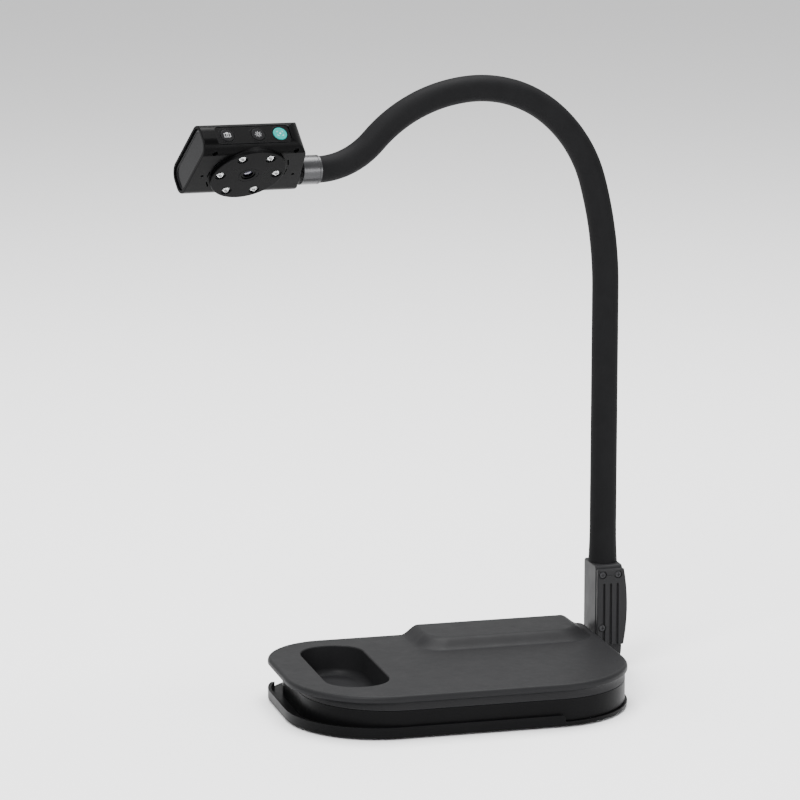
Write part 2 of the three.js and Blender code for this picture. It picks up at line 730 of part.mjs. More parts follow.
function makeLampCover() {
  let cover = drumZ(lampRadius, lensFace + gap, lampTop, 48)
    .add(drumZ(lampRadius - lampLedge - gap, lensFace - 1, lensFace + 1, 36));
  for (const [x, y] of ledSpots) {
    cover = cover.subtract(drumZ(ledRadius + gap, 0, lampTop + past, 16).translate([x, y, 0]));
  }
  return centreOnLamp(cover.subtract(drumZ(barrelRadius + gap, 0, lampTop + past)));
}

const ledBoardTop = boardFace;
const ledBoardBottom = ledBoardTop - boardSheet;
const ledShoulder = lensFace + 0.4;
place(head, 'lamp_cover', makeLampCover(), shellBlack);
place(head, 'led_board', centreOnLamp(
  ringZ(barrelRadius + gap, lampRadius - lampLedge / 2, ledBoardBottom, ledBoardTop, 32))
  .intersect(headSection(headWall + gap, 0, headShort)), board);
ledSpots.forEach(([x, y], i) => {
  const dome = ball(ledRadius, 10).translate([0, 0, ledShoulder]);
  const led = drumZ(ledRadius, ledBoardTop + gap, ledShoulder, 10).add(dome);
  place(head, `led_${i + 1}`, centreOnLamp(led.translate([x, y, 0])), clearLed);
});
const sensorTop = 0;
const sensorLength = 28;
const sensorWidth = 24;
const glassBottom = lensFace - gap;
const glassThickness = 1;
place(head, 'lens_barrel', centreOnLamp(
  drumZ(barrelRadius, sensorTop + gap, lensFace + 1.2)
    .subtract(drumZ(boreOfBarrel, sensorTop + 3, lampTop))
    .subtract(drumZ(glassRadius + gap, glassBottom - gap, lampTop))), gloss);
place(head, 'lens_glass', centreOnLamp(
  drumZ(glassRadius, glassBottom, glassBottom + glassThickness)), lensGlass);
place(head, 'sensor_board', centreOnLamp(
  block(-sensorLength / 2, sensorLength / 2, -sensorWidth / 2, sensorWidth / 2,
    sensorTop - boardThickness, sensorTop)), board);

function makeButtonStrip() {
  let strip = stripPocket(0, stripFace - stripThickness, stripFace);
  for (const x of Object.values(buttonXs)) {
    strip = strip.subtract(drumY(buttonRadius + gap, 0, halfWidth, 24).translate([x, 0, stripCentreZ]));
  }
  return strip;
}

function makeButton(x) {
  return drumY(buttonRadius, flangeTop - buttonFlange / 2, stripFace + buttonRise, 24)
    .add(drumY(buttonFlangeRadius, flangeTop - buttonFlange, flangeTop, 24))
    .translate([x, 0, stripCentreZ]);
}

place(head, 'button_strip', makeButtonStrip(), gloss);
place(head, 'snapshot_button', makeButton(buttonXs.snapshot), shellBlack);
place(head, 'lamp_button', makeButton(buttonXs.lamp), shellBlack);
place(head, 'focus_button', makeButton(buttonXs.focus), teal);
place(head, 'switch_board',
  block(stripStart + 1, stripEnd - 1, switchTop - boardSheet, switchTop,
    stripCentreZ - switchBoardHeight / 2, stripCentreZ + switchBoardHeight / 2), board);
const nutRadius = halfThickness - headWall - neckOffsetZ - gap * 2.5;
const nutStart = headShort + 1.5;
place(head, 'swivel_nut',
  swivel(nutRadius, nutStart, nutStart + nutLength).subtract(swivel(stubRadius + gap, 0, headLong)), zinc);
headScrews.forEach(([x, y], i) =>
  place(head, `head_screw_${i + 1}`,
    drumZ(headScrewRadius, lensFace - headWall * 2.5, lensFace - headScrewDepth, 12)
      .translate([x, y, 0]), zinc));

// ---- Origin on the table, under the middle of the whole scanner ----

scanner.updateMatrixWorld(true);
const size = new THREE.Box3().setFromObject(scanner, true);
const middle = size.getCenter(new THREE.Vector3());
scanner.position.set(-middle.x, -middle.y, -size.min.z);

export default scanner;
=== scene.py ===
import json
import math

import bpy
from mathutils import Matrix, Vector


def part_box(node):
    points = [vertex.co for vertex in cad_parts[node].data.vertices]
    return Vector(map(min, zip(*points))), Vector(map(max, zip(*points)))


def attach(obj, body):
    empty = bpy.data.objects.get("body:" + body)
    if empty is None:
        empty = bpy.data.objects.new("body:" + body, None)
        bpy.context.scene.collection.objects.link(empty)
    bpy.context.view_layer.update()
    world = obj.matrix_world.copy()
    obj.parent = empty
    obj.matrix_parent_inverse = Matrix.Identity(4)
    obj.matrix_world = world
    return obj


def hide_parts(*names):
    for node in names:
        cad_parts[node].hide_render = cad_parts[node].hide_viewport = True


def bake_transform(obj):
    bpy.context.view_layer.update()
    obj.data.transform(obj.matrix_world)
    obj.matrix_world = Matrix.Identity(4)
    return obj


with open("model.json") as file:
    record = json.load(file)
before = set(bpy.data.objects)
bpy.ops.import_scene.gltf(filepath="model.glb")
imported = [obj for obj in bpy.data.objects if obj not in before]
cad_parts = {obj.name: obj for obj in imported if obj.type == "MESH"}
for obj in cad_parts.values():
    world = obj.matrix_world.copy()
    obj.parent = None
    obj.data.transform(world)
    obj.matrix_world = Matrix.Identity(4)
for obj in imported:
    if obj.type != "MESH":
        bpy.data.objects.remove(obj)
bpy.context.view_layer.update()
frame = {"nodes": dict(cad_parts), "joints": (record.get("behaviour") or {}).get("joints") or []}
mm = 0.001
print("frame loaded")

# Places that everything else is worked out from
trayLow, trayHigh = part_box("base_tray")
left, front = trayLow.x, trayLow.y
right, back = trayHigh.x, trayHigh.y
floorLevel = 0.0
joints = {joint["name"]: joint for joint in frame["joints"]}


# ---- Working helpers ----


def deselectAll():
    if bpy.context.mode != "OBJECT":
        bpy.ops.object.mode_set(mode="OBJECT")
    bpy.ops.object.select_all(action="DESELECT")


def takeUp(piece):
    deselectAll()
    piece.select_set(True)
    bpy.context.view_layer.objects.active = piece


def settle(piece):
    takeUp(piece)
    bpy.ops.object.transform_apply(location=True, rotation=True, scale=True)
    return piece


def pick(piece, kind, wanted):
    # selects faces by centre and normal, or edges by middle and direction, and stays in edit mode
    takeUp(piece)
    bpy.ops.object.mode_set(mode="EDIT")
    bpy.ops.mesh.select_mode(type=kind)
    bpy.ops.mesh.select_all(action="DESELECT")
    bpy.ops.object.mode_set(mode="OBJECT")
    mesh = piece.data
    if kind == "FACE":
        for face in mesh.polygons:
            face.select = bool(wanted(face.center, face.normal))
    else:
        for edge in mesh.edges:
            start, end = (mesh.vertices[i].co for i in edge.vertices)
            edge.select = bool(wanted((start + end) / 2, (end - start).normalized()))
    bpy.ops.object.mode_set(mode="EDIT")


def roundPicked(width, segments):
    bpy.ops.mesh.bevel(offset=width, segments=segments, affect="EDGES", clamp_overlap=False)
    bpy.ops.object.mode_set(mode="OBJECT")


def roundEdges(piece, width, segments, wanted):
    pick(piece, "EDGE", wanted)
    roundPicked(width, segments)


def near(value, target, slack=0.02 * mm):
    return abs(value - target) < slack


def block(name, low, high):
    deselectAll()
    low, high = Vector(low), Vector(high)
    bpy.ops.mesh.primitive_cube_add(size=1, location=(low + high) / 2, scale=high - low)
    piece = bpy.context.object
    piece.name = name
    return settle(piece)


def drum(name, radius, start, end, sides=64, endRadius=None):
    deselectAll()
    start, end = Vector(start), Vector(end)
    along = end - start
    bpy.ops.mesh.primitive_cone_add(
        vertices=sides,
        radius1=radius,
        radius2=radius if endRadius is None else endRadius,
        depth=along.length,
        location=(start + end) / 2,
        rotation=along.to_track_quat("Z", "Y").to_euler(),
    )
    piece = bpy.context.object
    piece.name = name
    return settle(piece)


def combine(piece, other, operation, keep=False):
    takeUp(piece)
    change = piece.modifiers.new("combine", "BOOLEAN")
    change.operation = operation
    change.object = other
    change.solver = "EXACT"
    bpy.ops.object.modifier_apply(modifier=change.name)
    if not keep:
        bpy.data.objects.remove(other, do_unlink=True)
    return piece


def cutAway(piece, cutter, keep=False):
    return combine(piece, cutter, "DIFFERENCE", keep)


def weld(piece, other, keep=False):
    return combine(piece, other, "UNION", keep)


def copyOf(piece, name):
    twin = piece.copy()
    twin.data = piece.data.copy()
    twin.name = name
    bpy.context.scene.collection.objects.link(twin)
    return twin


def moveBy(piece, shift):
    piece.location = shift
    return settle(piece)


def soften(piece, width, segments=2, angle=35):
    takeUp(piece)
    change = piece.modifiers.new("soften", "BEVEL")
    change.width = width
    change.segments = segments
    change.limit_method = "ANGLE"
    change.angle_limit = math.radians(angle)
    bpy.ops.object.modifier_apply(modifier=change.name)
    return piece


def smoothShade(piece, angle=32):
    takeUp(piece)
    bpy.ops.object.shade_smooth_by_angle(angle=math.radians(angle))
    change = piece.modifiers.new("normals", "WEIGHTED_NORMAL")
    change.keep_sharp = True
    bpy.ops.object.modifier_apply(modifier=change.name)
    return piece


def handOver(piece, body, material, replaced=()):
    # a finished piece gets its finish and its place in the moving model
    smoothShade(piece)
    piece.data.materials.clear()
    piece.data.materials.append(material)
    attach(piece, body)
    if replaced:
        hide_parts(*replaced)
    return piece


# ---- Finishes ----


def newFinish(name):
    material = bpy.data.materials.new(name)
    material.use_nodes = True
    return material, material.node_tree.nodes, material.node_tree.links


def patternPlace(nodes, links, scale=(1, 1, 1), turn=(0, 0, 0)):
    place = nodes.new("ShaderNodeTexCoord")
    mapping = nodes.new("ShaderNodeMapping")
    mapping.inputs["Scale"].default_value = scale
    mapping.inputs["Rotation"].default_value = turn
    links.new(place.outputs["Object"], mapping.inputs["Vector"])
    return mapping.outputs["Vector"]


def noise(nodes, links, place, size, detail=3.0, roughness=0.55):
    # size is the width of a blotch in metres
    texture = nodes.new("ShaderNodeTexNoise")
    texture.inputs["Scale"].default_value = 1 / size
    texture.inputs["Detail"].default_value = detail
    texture.inputs["Roughness"].default_value = roughness
    links.new(place, texture.inputs["Vector"])
    return texture.outputs["Fac"]


def ranged(nodes, links, value, low, high):
    spread = nodes.new("ShaderNodeMapRange")
    spread.inputs["From Min"].default_value = 0.3
    spread.inputs["From Max"].default_value = 0.7
    spread.inputs["To Min"].default_value = low
    spread.inputs["To Max"].default_value = high
    links.new(value, spread.inputs["Value"])
    return spread.outputs["Result"]


def blendColours(nodes, links, share, first, second):
    mix = nodes.new("ShaderNodeMix")
    mix.data_type = "RGBA"
    links.new(share, mix.inputs["Factor"])
    for socket, colour in ((mix.inputs["A"], first), (mix.inputs["B"], second)):
        if isinstance(colour, tuple):
            socket.default_value = (*colour, 1)
        else:
            links.new(colour, socket)
    return mix.outputs["Result"]


def edgeShare(nodes, links, width, strength):
    # nearly 0 on open faces, and rising where the surface turns sharply
    rounded = nodes.new("ShaderNodeBevel")
    rounded.samples = 4
    rounded.inputs["Radius"].default_value = width
    plain = nodes.new("ShaderNodeNewGeometry")
    dot = nodes.new("ShaderNodeVectorMath")
    dot.operation = "DOT_PRODUCT"
    links.new(rounded.outputs["Normal"], dot.inputs[0])
    links.new(plain.outputs["Normal"], dot.inputs[1])
    spread = nodes.new("ShaderNodeMapRange")
    spread.inputs["From Min"].default_value = 0.995
    spread.inputs["From Max"].default_value = 0.9
    spread.inputs["To Min"].default_value = 0.0
    spread.inputs["To Max"].default_value = strength
    links.new(dot.outputs["Value"], spread.inputs["Value"])
    return spread.outputs["Result"]


def bump(nodes, links, shader, height, depth, strength=1.0, under=None):
    relief = nodes.new("ShaderNodeBump")
    relief.inputs["Strength"].default_value = strength
    relief.inputs["Distance"].default_value = depth
    links.new(height, relief.inputs["Height"])
    if under is not None:
        links.new(under, relief.inputs["Normal"])
    links.new(relief.outputs["Normal"], shader.inputs["Normal"])
    return relief.outputs["Normal"]


def mouldedPlastic(name, look):
    # spark-eroded plastic: fine grain, faint cloudiness, slightly polished edges
    material, nodes, links = newFinish(name)
    shader = nodes["Principled BSDF"]
    place = patternPlace(nodes, links)
    cloud = noise(nodes, links, place, look["cloudSize"], detail=2)
    grain = noise(nodes, links, place, look["grainSize"], detail=2, roughness=0.6)
    smudge = noise(nodes, links, place, look["cloudSize"] * 0.3, detail=4, roughness=0.65)
    body = blendColours(nodes, links, cloud, look["colour"], look["shade"])
    worn = edgeShare(nodes, links, look["edgeWidth"], look["edgeStrength"])
    links.new(blendColours(nodes, links, worn, body, look["edgeColour"]), shader.inputs["Base Color"])
    rough = ranged(nodes, links, smudge, look["roughness"] - look["drift"], look["roughness"] + look["drift"])
    links.new(rough, shader.inputs["Roughness"])
    shader.inputs["Specular IOR Level"].default_value = look["specular"]
    shader.inputs["Coat Weight"].default_value = look["coat"]
    shader.inputs["Coat Roughness"].default_value = look["coatRoughness"]
    bump(nodes, links, shader, grain, look["grainDepth"], look["grainStrength"])
    return material


deckLook = {
    "colour": (0.0085, 0.0085, 0.0090),
    "shade": (0.0105, 0.0105, 0.0112),
    "edgeColour": (0.035, 0.035, 0.037),
    "edgeWidth": 0.7 * mm,
    "edgeStrength": 0.35,
    "cloudSize": 40 * mm,
    "grainSize": 0.45 * mm,
    "grainDepth": 0.05 * mm,
    "grainStrength": 0.35,
    "roughness": 0.50,
    "drift": 0.04,
    "specular": 0.08,
    "coat": 0.0,
    "coatRoughness": 0.3,
}
shellLook = {
    **deckLook,
    "colour": (0.0026, 0.0026, 0.0028),
    "shade": (0.0036, 0.0036, 0.0038),
    "edgeColour": (0.012, 0.012, 0.013),
    "specular": 0.04,
    "grainDepth": 0.03 * mm,
    "grainStrength": 0.25,
    "roughness": 0.36,
}
headLook = {
    **shellLook,
    "colour": (0.0011, 0.0011, 0.0012),
    "shade": (0.0016, 0.0016, 0.0017),
    "specular": 0.035,
    "grainSize": 0.3 * mm,
    "grainDepth": 0.02 * mm,
    "roughness": 0.33,
}
holderLook = {
    **shellLook,
    "colour": (0.0140, 0.0140, 0.0147),
    "shade": (0.0175, 0.0175, 0.0183),
    "specular": 0.06,
    "roughness": 0.45,
}
capLook = {
    **shellLook,
    "colour": (0.0048, 0.0048, 0.0053),
    "shade": (0.0062, 0.0062, 0.0068),
    "specular": 0.08,
    "grainStrength": 0.06,
    "roughness": 0.16,
    "drift": 0.03,
    "coat": 0.08,
    "coatRoughness": 0.08,
}
lampLook = {
    **shellLook,
    "colour": (0.0010, 0.0010, 0.0011),
    "shade": (0.0014, 0.0014, 0.0015),
    "specular": 0.025,
    "grainSize": 0.35 * mm,
    "roughness": 0.30,
    "grainStrength": 0.18,
}
buttonLook = {
    **shellLook,
    "colour": (0.0035, 0.0035, 0.0038),
    "shade": (0.0050, 0.0050, 0.0054),
    "grainSize": 0.25 * mm,
    "grainStrength": 0.15,
    "roughness": 0.30,
}
tealLook = {
    **buttonLook,
    "colour": (0.006, 0.165, 0.150),
    "shade": (0.008, 0.185, 0.168),
    "edgeColour": (0.05, 0.32, 0.30),
    "roughness": 0.34,
}
rubberLook = {
    **shellLook,
    "colour": (0.006, 0.006, 0.0065),
    "shade": (0.009, 0.009, 0.0095),
    "edgeColour": (0.02, 0.02, 0.021),
    "grainSize": 0.6 * mm,
    "grainDepth": 0.08 * mm,
    "grainStrength": 0.5,
    "roughness": 0.72,
    "specular": 0.2,
}
inkLook = {
    **shellLook,
    "colour": (0.34, 0.345, 0.35),
    "shade": (0.40, 0.40, 0.41),
    "edgeColour": (0.3, 0.3, 0.31),
    "grainSize": 0.2 * mm,
    "grainStrength": 0.1,
    "roughness": 0.5,
}
deckPlastic = mouldedPlastic("satinDeckPlastic", deckLook)
shellPlastic = mouldedPlastic("blackShellPlastic", shellLook)
headPlastic = mouldedPlastic("blackHeadPlastic", headLook)
holderPlastic = mouldedPlastic("holderPlastic", holderLook)
capPlastic = mouldedPlastic("glossyCapPlastic", capLook)
lampPlastic = mouldedPlastic("lampDiscPlastic", lampLook)
buttonPlastic = mouldedPlastic("blackButtonPlastic", buttonLook)
tealPlastic = mouldedPlastic("tealButtonPlastic", tealLook)
footRubber = mouldedPlastic("footRubber", rubberLook)
whiteInk = mouldedPlastic("printedWhiteInk", inkLook)

sleeveLook = {
    "colour": (0.0050, 0.0050, 0.0053),
    "shade": (0.0090, 0.0090, 0.0095),
    "mottle": 14 * mm,
    "weave": 0.7 * mm,
    "depth": 0.09 * mm,
    "roughness": 0.58,
    "drift": 0.06,
}


def sleeveRubber():
    # soft matte sleeve with a tight knit that shows through
    material, nodes, links = newFinish("neckSleeveRubber")
    shader = nodes["Principled BSDF"]
    place = patternPlace(nodes, links)
    mottle = noise(nodes, links, place, sleeveLook["mottle"], detail=4, roughness=0.6)
    tone = blendColours(nodes, links, mottle, sleeveLook["colour"], sleeveLook["shade"])
    links.new(tone, shader.inputs["Base Color"])
    rough = ranged(nodes, links, mottle, sleeveLook["roughness"] - sleeveLook["drift"],
                   sleeveLook["roughness"] + sleeveLook["drift"])
    links.new(rough, shader.inputs["Roughness"])
    shader.inputs["Specular IOR Level"].default_value = 0.03
    shader.inputs["Sheen Weight"].default_value = 0.001
    shader.inputs["Sheen Roughness"].default_value = 0.45
    knit = nodes.new("ShaderNodeTexVoronoi")
    knit.inputs["Scale"].default_value = 1 / sleeveLook["weave"]
    links.new(place, knit.inputs["Vector"])
    fine = noise(nodes, links, place, sleeveLook["weave"] * 0.5, detail=2)
    first = bump(nodes, links, shader, knit.outputs["Distance"], sleeveLook["depth"], 0.35)
    bump(nodes, links, shader, fine, sleeveLook["depth"] * 0.5, 0.3, under=first)
    return material


def turnedMetal(name, look):
    # turned or rolled metal: long fine scratches along one way
    material, nodes, links = newFinish(name)
    shader = nodes["Principled BSDF"]
    place = patternPlace(nodes, links, scale=look["stretch"], turn=look.get("turn", (0, 0, 0)))
    scratches = noise(nodes, links, place, look["scratchSize"], detail=5, roughness=0.7)
    plainPlace = patternPlace(nodes, links)
    stain = noise(nodes, links, plainPlace, look["scratchSize"] * 25, detail=3)
    tone = blendColours(nodes, links, stain, look["colour"], look["shade"])
    links.new(tone, shader.inputs["Base Color"])
    rough = ranged(nodes, links, scratches, look["roughness"] - look["drift"],
                   look["roughness"] + look["drift"])
    links.new(rough, shader.inputs["Roughness"])
    shader.inputs["Metallic"].default_value = look["metallic"]
    bump(nodes, links, shader, scratches, look["depth"], 0.25)
    return material


collarLook = {
    "colour": (0.035, 0.035, 0.037),
    "shade": (0.050, 0.050, 0.052),
    "stretch": (1, 1, 1),
    "scratchSize": 0.35 * mm,
    "depth": 0.02 * mm,
    "roughness": 0.30,
    "drift": 0.06,
    "metallic": 0.7,
}
steelLook = {
    **collarLook,
    "colour": (0.50, 0.51, 0.53),
    "shade": (0.58, 0.59, 0.61),
    "stretch": (0.05, 1, 1),
    "metallic": 1.0,
    "roughness": 0.32,
}
zincLook = {
    **steelLook,
    "colour": (0.66, 0.67, 0.69),
    "shade": (0.76, 0.77, 0.79),
    "stretch": (1, 1, 1),
    "roughness": 0.26,
}
blackSteelLook = {
    **steelLook,
    "colour": (0.018, 0.018, 0.019),
    "shade": (0.026, 0.026, 0.028),
    "stretch": (1, 1, 1),
    "metallic": 0.8,
    "roughness": 0.42,
}
mirrorLook = {
    **zincLook,
    "colour": (0.14, 0.145, 0.15),
    "shade": (0.30, 0.30, 0.31),
    "depth": 0.005 * mm,
    "roughness": 0.12,
    "drift": 0.03,
}
sleeve = sleeveRubber()
collarMetal = turnedMetal("darkCollarMetal", collarLook)
steel = turnedMetal("plainSteel", steelLook)
zinc = turnedMetal("zincPlate", zincLook)
blackSteel = turnedMetal("blackenedSteel", blackSteelLook)
mirrorCup = turnedMetal("lampReflector", mirrorLook)


def circuitBoard():
    # green mask with copper tracks under it and tinned pads
    material, nodes, links = newFinish("circuitBoard")
    shader = nodes["Principled BSDF"]
    place = patternPlace(nodes, links)
    tracks = nodes.new("ShaderNodeTexBrick")
    tracks.inputs["Scale"].default_value = 160
    tracks.inputs["Mortar Size"].default_value = 0.035
    tracks.inputs["Color1"].default_value = (0.012, 0.090, 0.040, 1)
    tracks.inputs["Color2"].default_value = (0.016, 0.110, 0.050, 1)
    tracks.inputs["Mortar"].default_value = (0.040, 0.200, 0.090, 1)
    links.new(place, tracks.inputs["Vector"])
    pads = nodes.new("ShaderNodeTexVoronoi")
    pads.inputs["Scale"].default_value = 330
    links.new(place, pads.inputs["Vector"])
    tinned = nodes.new("ShaderNodeMath")
    tinned.operation = "LESS_THAN"
    tinned.inputs[1].default_value = 0.16
    links.new(pads.outputs["Distance"], tinned.inputs[0])
    tone = blendColours(nodes, links, tinned.outputs["Value"], tracks.outputs["Color"], (0.55, 0.55, 0.53))
    links.new(tone, shader.inputs["Base Color"])
    links.new(tinned.outputs["Value"], shader.inputs["Metallic"])
    links.new(ranged(nodes, links, noise(nodes, links, place, 2 * mm), 0.3, 0.5), shader.inputs["Roughness"])
    bump(nodes, links, shader, tracks.outputs["Fac"], 0.02 * mm, 0.4)
    return material


def clearMoulding(name, look):
    # water-clear lamp or lens, faintly streaked by the mould
    material, nodes, links = newFinish(name)
    shader = nodes["Principled BSDF"]
    place = patternPlace(nodes, links)
    streak = noise(nodes, links, place, look["streak"], detail=3)
    tone = blendColours(nodes, links, streak, look["colour"], look["shade"])
    links.new(tone, shader.inputs["Base Color"])
    links.new(ranged(nodes, links, streak, look["roughness"], look["roughness"] * 2), shader.inputs["Roughness"])
    shader.inputs["Transmission Weight"].default_value = look["clear"]
    shader.inputs["IOR"].default_value = look["ior"]
    shader.inputs["Coat Weight"].default_value = 1.0
    shader.inputs["Coat Roughness"].default_value = 0.03
    bump(nodes, links, shader, streak, 0.01 * mm, 0.15)
    return material


ledLook = {
    "colour": (0.42, 0.43, 0.43),
    "shade": (0.55, 0.55, 0.55),
    "streak": 1.5 * mm,
    "roughness": 0.03,
    "clear": 0.9,
    "ior": 1.45,
}
lensLook = {
    **ledLook,
    "colour": (0.05, 0.06, 0.09),
    "shade": (0.08, 0.06, 0.10),
    "clear": 0.35,
    "ior": 1.52,
}
board = circuitBoard()
clearLed = clearMoulding("clearLamp", ledLook)
lensGlass = clearMoulding("coatedLensGlass", lensLook)
print("finishes made")


# ---- Camera, light and floor ----

cameraLook = {
    "place": (-0.6677, -2.4592, 0.7232),
    "tilt": 78.51,
    "turn": -14.83,
    "lens": 180.1,
    "sensor": 36.0,
}


def setCamera():
    deselectAll()
    bpy.ops.object.camera_add(
        location=cameraLook["place"],
        rotation=(math.radians(cameraLook["tilt"]), 0, math.radians(cameraLook["turn"])),
    )
    camera = bpy.context.object
    camera.name = "camera"
    camera.data.lens = cameraLook["lens"]
    camera.data.sensor_width = cameraLook["sensor"]
    camera.data.clip_end = 20
    bpy.context.scene.camera = camera


lampSet = {
    "key": {"place": (-1.3, -1.5, 1.9), "aim": (0, 0, 0.15), "size": 1.3, "watts": 105},
    "top": {"place": (0.2, 0.5, 2.2), "aim": (0, 0, 0.1), "size": 1.6, "watts": 120},
    "side": {"place": (1.5, -2.0, 0.45), "aim": (-0.1, 0, 0.3), "size": 0.9, "watts": 26},
}


def setLights():
    for name, look in lampSet.items():
        deselectAll()
        way = Vector(look["aim"]) - Vector(look["place"])
        bpy.ops.object.light_add(
            type="AREA",
            location=look["place"],
            rotation=way.to_track_quat("-Z", "Y").to_euler(),
        )
        lamp = bpy.context.object
        lamp.name = name + "Light"
        lamp.data.energy = look["watts"]
        lamp.data.size = look["size"]
    world = bpy.data.worlds.new("studioSky")
    bpy.context.scene.world = world
    world.use_nodes = True
    sky = world.node_tree.nodes["Background"]
    sky.inputs["Color"].default_value = (1, 1, 1, 1)
    sky.inputs["Strength"].default_value = 0.9


def setFloor():
    deselectAll()
    bpy.ops.mesh.primitive_plane_add(size=14, location=(0, 0, floorLevel))
    floor = bpy.context.object
    floor.name = "studioFloor"
    material, nodes, links = newFinish("paleFloor")
    shader = nodes["Principled BSDF"]
    place = patternPlace(nodes, links)
    cloud = noise(nodes, links, place, 0.8, detail=2)
    links.new(blendColours(nodes, links, cloud, (0.86, 0.86, 0.865), (0.88, 0.88, 0.885)),
              shader.inputs["Base Color"])
    shader.inputs["Roughness"].default_value = 0.7
    floor.data.materials.append(material)


setCamera()
setLights()
setFloor()
print("studio set")


# ---- Base ----

baseSizes = {
    "cornerRadii": (62 * mm, 60 * mm, 5 * mm, 44 * mm),   # front left, front right, back right, back left
    "cornerSteps": (26, 26, 6, 20),
    "inset": (10 * mm, 3 * mm, 1.2 * mm, 1.2 * mm),       # walls in from left, front, right, back
    "wall": 2 * mm,
}


def stretchTo(low, high, newLow, newHigh):
    # share of growth about a fixed point that takes one stretch of line to another
    share = (newHigh - newLow) / (high - low)
    fixed = (newLow - share * low) / (1 - share) if abs(1 - share) > 1e-9 else 0
    return share, fixed


def insetPicked(inLeft, inFront, inRight, inBack):
    # squeezes what is selected of the full outline so that each side moves in by its own amount
    shareX, fixedX = stretchTo(left, right, left + inLeft, right - inRight)
    shareY, fixedY = stretchTo(front, back, front + inFront, back - inBack)
    bpy.ops.transform.resize(value=(shareX, shareY, 1), center_override=(fixedX, fixedY, 0))


def outlineBlock(name, bottom, top, inset=(0, 0, 0, 0)):
    # block with the plan of the base, its walls moved in
    piece = block(name, (left, front, bottom), (right, back, top))
    corners = ((left, front), (right, front), (right, back), (left, back))
    for (x, y), radius, steps in zip(corners, baseSizes["cornerRadii"], baseSizes["cornerSteps"]):
        roundEdges(piece, radius, steps,
                   lambda at, way: near(at.x, x) and near(at.y, y) and abs(way.z) > 0.9)
    if any(inset):
        pick(piece, "FACE", lambda at, normal: True)
        insetPicked(*inset)
        bpy.ops.object.mode_set(mode="OBJECT")
    return piece


def inner(extra):
    return tuple(side + extra for side in baseSizes["inset"])


deckSizes = {
    "parting": 18.6 * mm,
    "coveFoot": 20.0 * mm,
    "flange": 25.0 * mm,
    "chamfer": 0.7 * mm,
    "top": 29.3 * mm,
    "thickness": 2.4 * mm,
    "edgeRadius": 2.4 * mm,
    "humpTop": 35.7 * mm,
    "humpSlope": 12 * mm,
    "humpLength": 101 * mm,
    "humpDepth": 38.5 * mm,
    "humpEdge": 16.5 * mm,
    "humpCorner": 18 * mm,
    "gripWidth": 42.5 * mm,
    "gripRadius": 20 * mm,
    "gripEdge": 23.5 * mm,
    "gripFrontEdge": 28.5 * mm,
    "gripBackEdge": 16.5 * mm,
    "gripFloor": 8.6 * mm,
    "gripRim": 1.1 * mm,
    "gripFillet": 5 * mm,
}


def deckUnderside():
    # full outline above, a hollow cove under the flange, and the inset wall below
    sizes = deckSizes
    chamfer = sizes["chamfer"]
    piece = outlineBlock("baseDeck", sizes["flange"] + chamfer, sizes["humpTop"] + 8 * mm)
    pick(piece, "FACE", lambda at, normal: normal.z < -0.9)
    shareBefore = (1.0, 1.0)
    steps = 9
    levels = [(0.0, sizes["flange"] + chamfer), (0.07, sizes["flange"])]
    depth = sizes["flange"] - sizes["coveFoot"]
    for step in range(1, steps + 1):
        angle = math.pi / 2 * step / steps
        levels.append((0.07 + 0.93 * math.sin(angle), sizes["flange"] - depth * (1 - math.cos(angle))))
    levels.append((1.0, sizes["parting"] + 0.1 * mm))
    inset = baseSizes["inset"]
    for (before, levelBefore), (share, level) in zip(levels, levels[1:]):
        bpy.ops.mesh.extrude_region_move(TRANSFORM_OT_translate={"value": (0, 0, level - levelBefore)})
        shareX, fixedX = stretchTo(left, right, left + inset[0] * share, right - inset[2] * share)
        shareY, fixedY = stretchTo(front, back, front + inset[1] * share, back - inset[3] * share)
        growX, growY = shareX / shareBefore[0], shareY / shareBefore[1]
        if share > before:
            _, wholeX = stretchTo(left, right, left + inset[0], right - inset[2])
            _, wholeY = stretchTo(front, back, front + inset[1], back - inset[3])
            bpy.ops.transform.resize(value=(growX, growY, 1), center_override=(wholeX, wholeY, 0))
        shareBefore = (shareX, shareY)
    bpy.ops.object.mode_set(mode="OBJECT")
    return piece


def humpBlock(name, top, foot):
    # raised cover over the electronics: its front and sides rise in a soft S, and it runs out past the back
    sizes = deckSizes
    slope = sizes["humpSlope"]
    humpRight = right - sizes["humpEdge"] + slope
    humpLeft = right - sizes["humpEdge"] - sizes["humpLength"] - slope
    humpFront = back - sizes["humpDepth"] - slope
    behind = back + 40 * mm
    piece = block(name, (humpLeft, humpFront, foot - 4 * mm), (humpRight, behind, foot))
    roundEdges(piece, sizes["humpCorner"], 10, lambda at, way: at.y < back and abs(way.z) > 0.9)
    pick(piece, "FACE", lambda at, normal: normal.z > 0.9)
    steps = 12
    middle = (humpLeft + humpRight) / 2
    width, depth = humpRight - humpLeft, behind - humpFront
    for step in range(steps):
        share, after = step / steps, (step + 1) / steps
        rise = (top - foot) * (after ** 2 * (3 - 2 * after) - share ** 2 * (3 - 2 * share))
        bpy.ops.mesh.extrude_region_move(TRANSFORM_OT_translate={"value": (0, 0, rise)})
        growX = (width - 2 * slope * after) / (width - 2 * slope * share)
        growY = (depth - slope * after) / (depth - slope * share)
        bpy.ops.transform.resize(value=(growX, growY, 1), center_override=(middle, behind, 0))
    bpy.ops.object.mode_set(mode="OBJECT")
    return piece


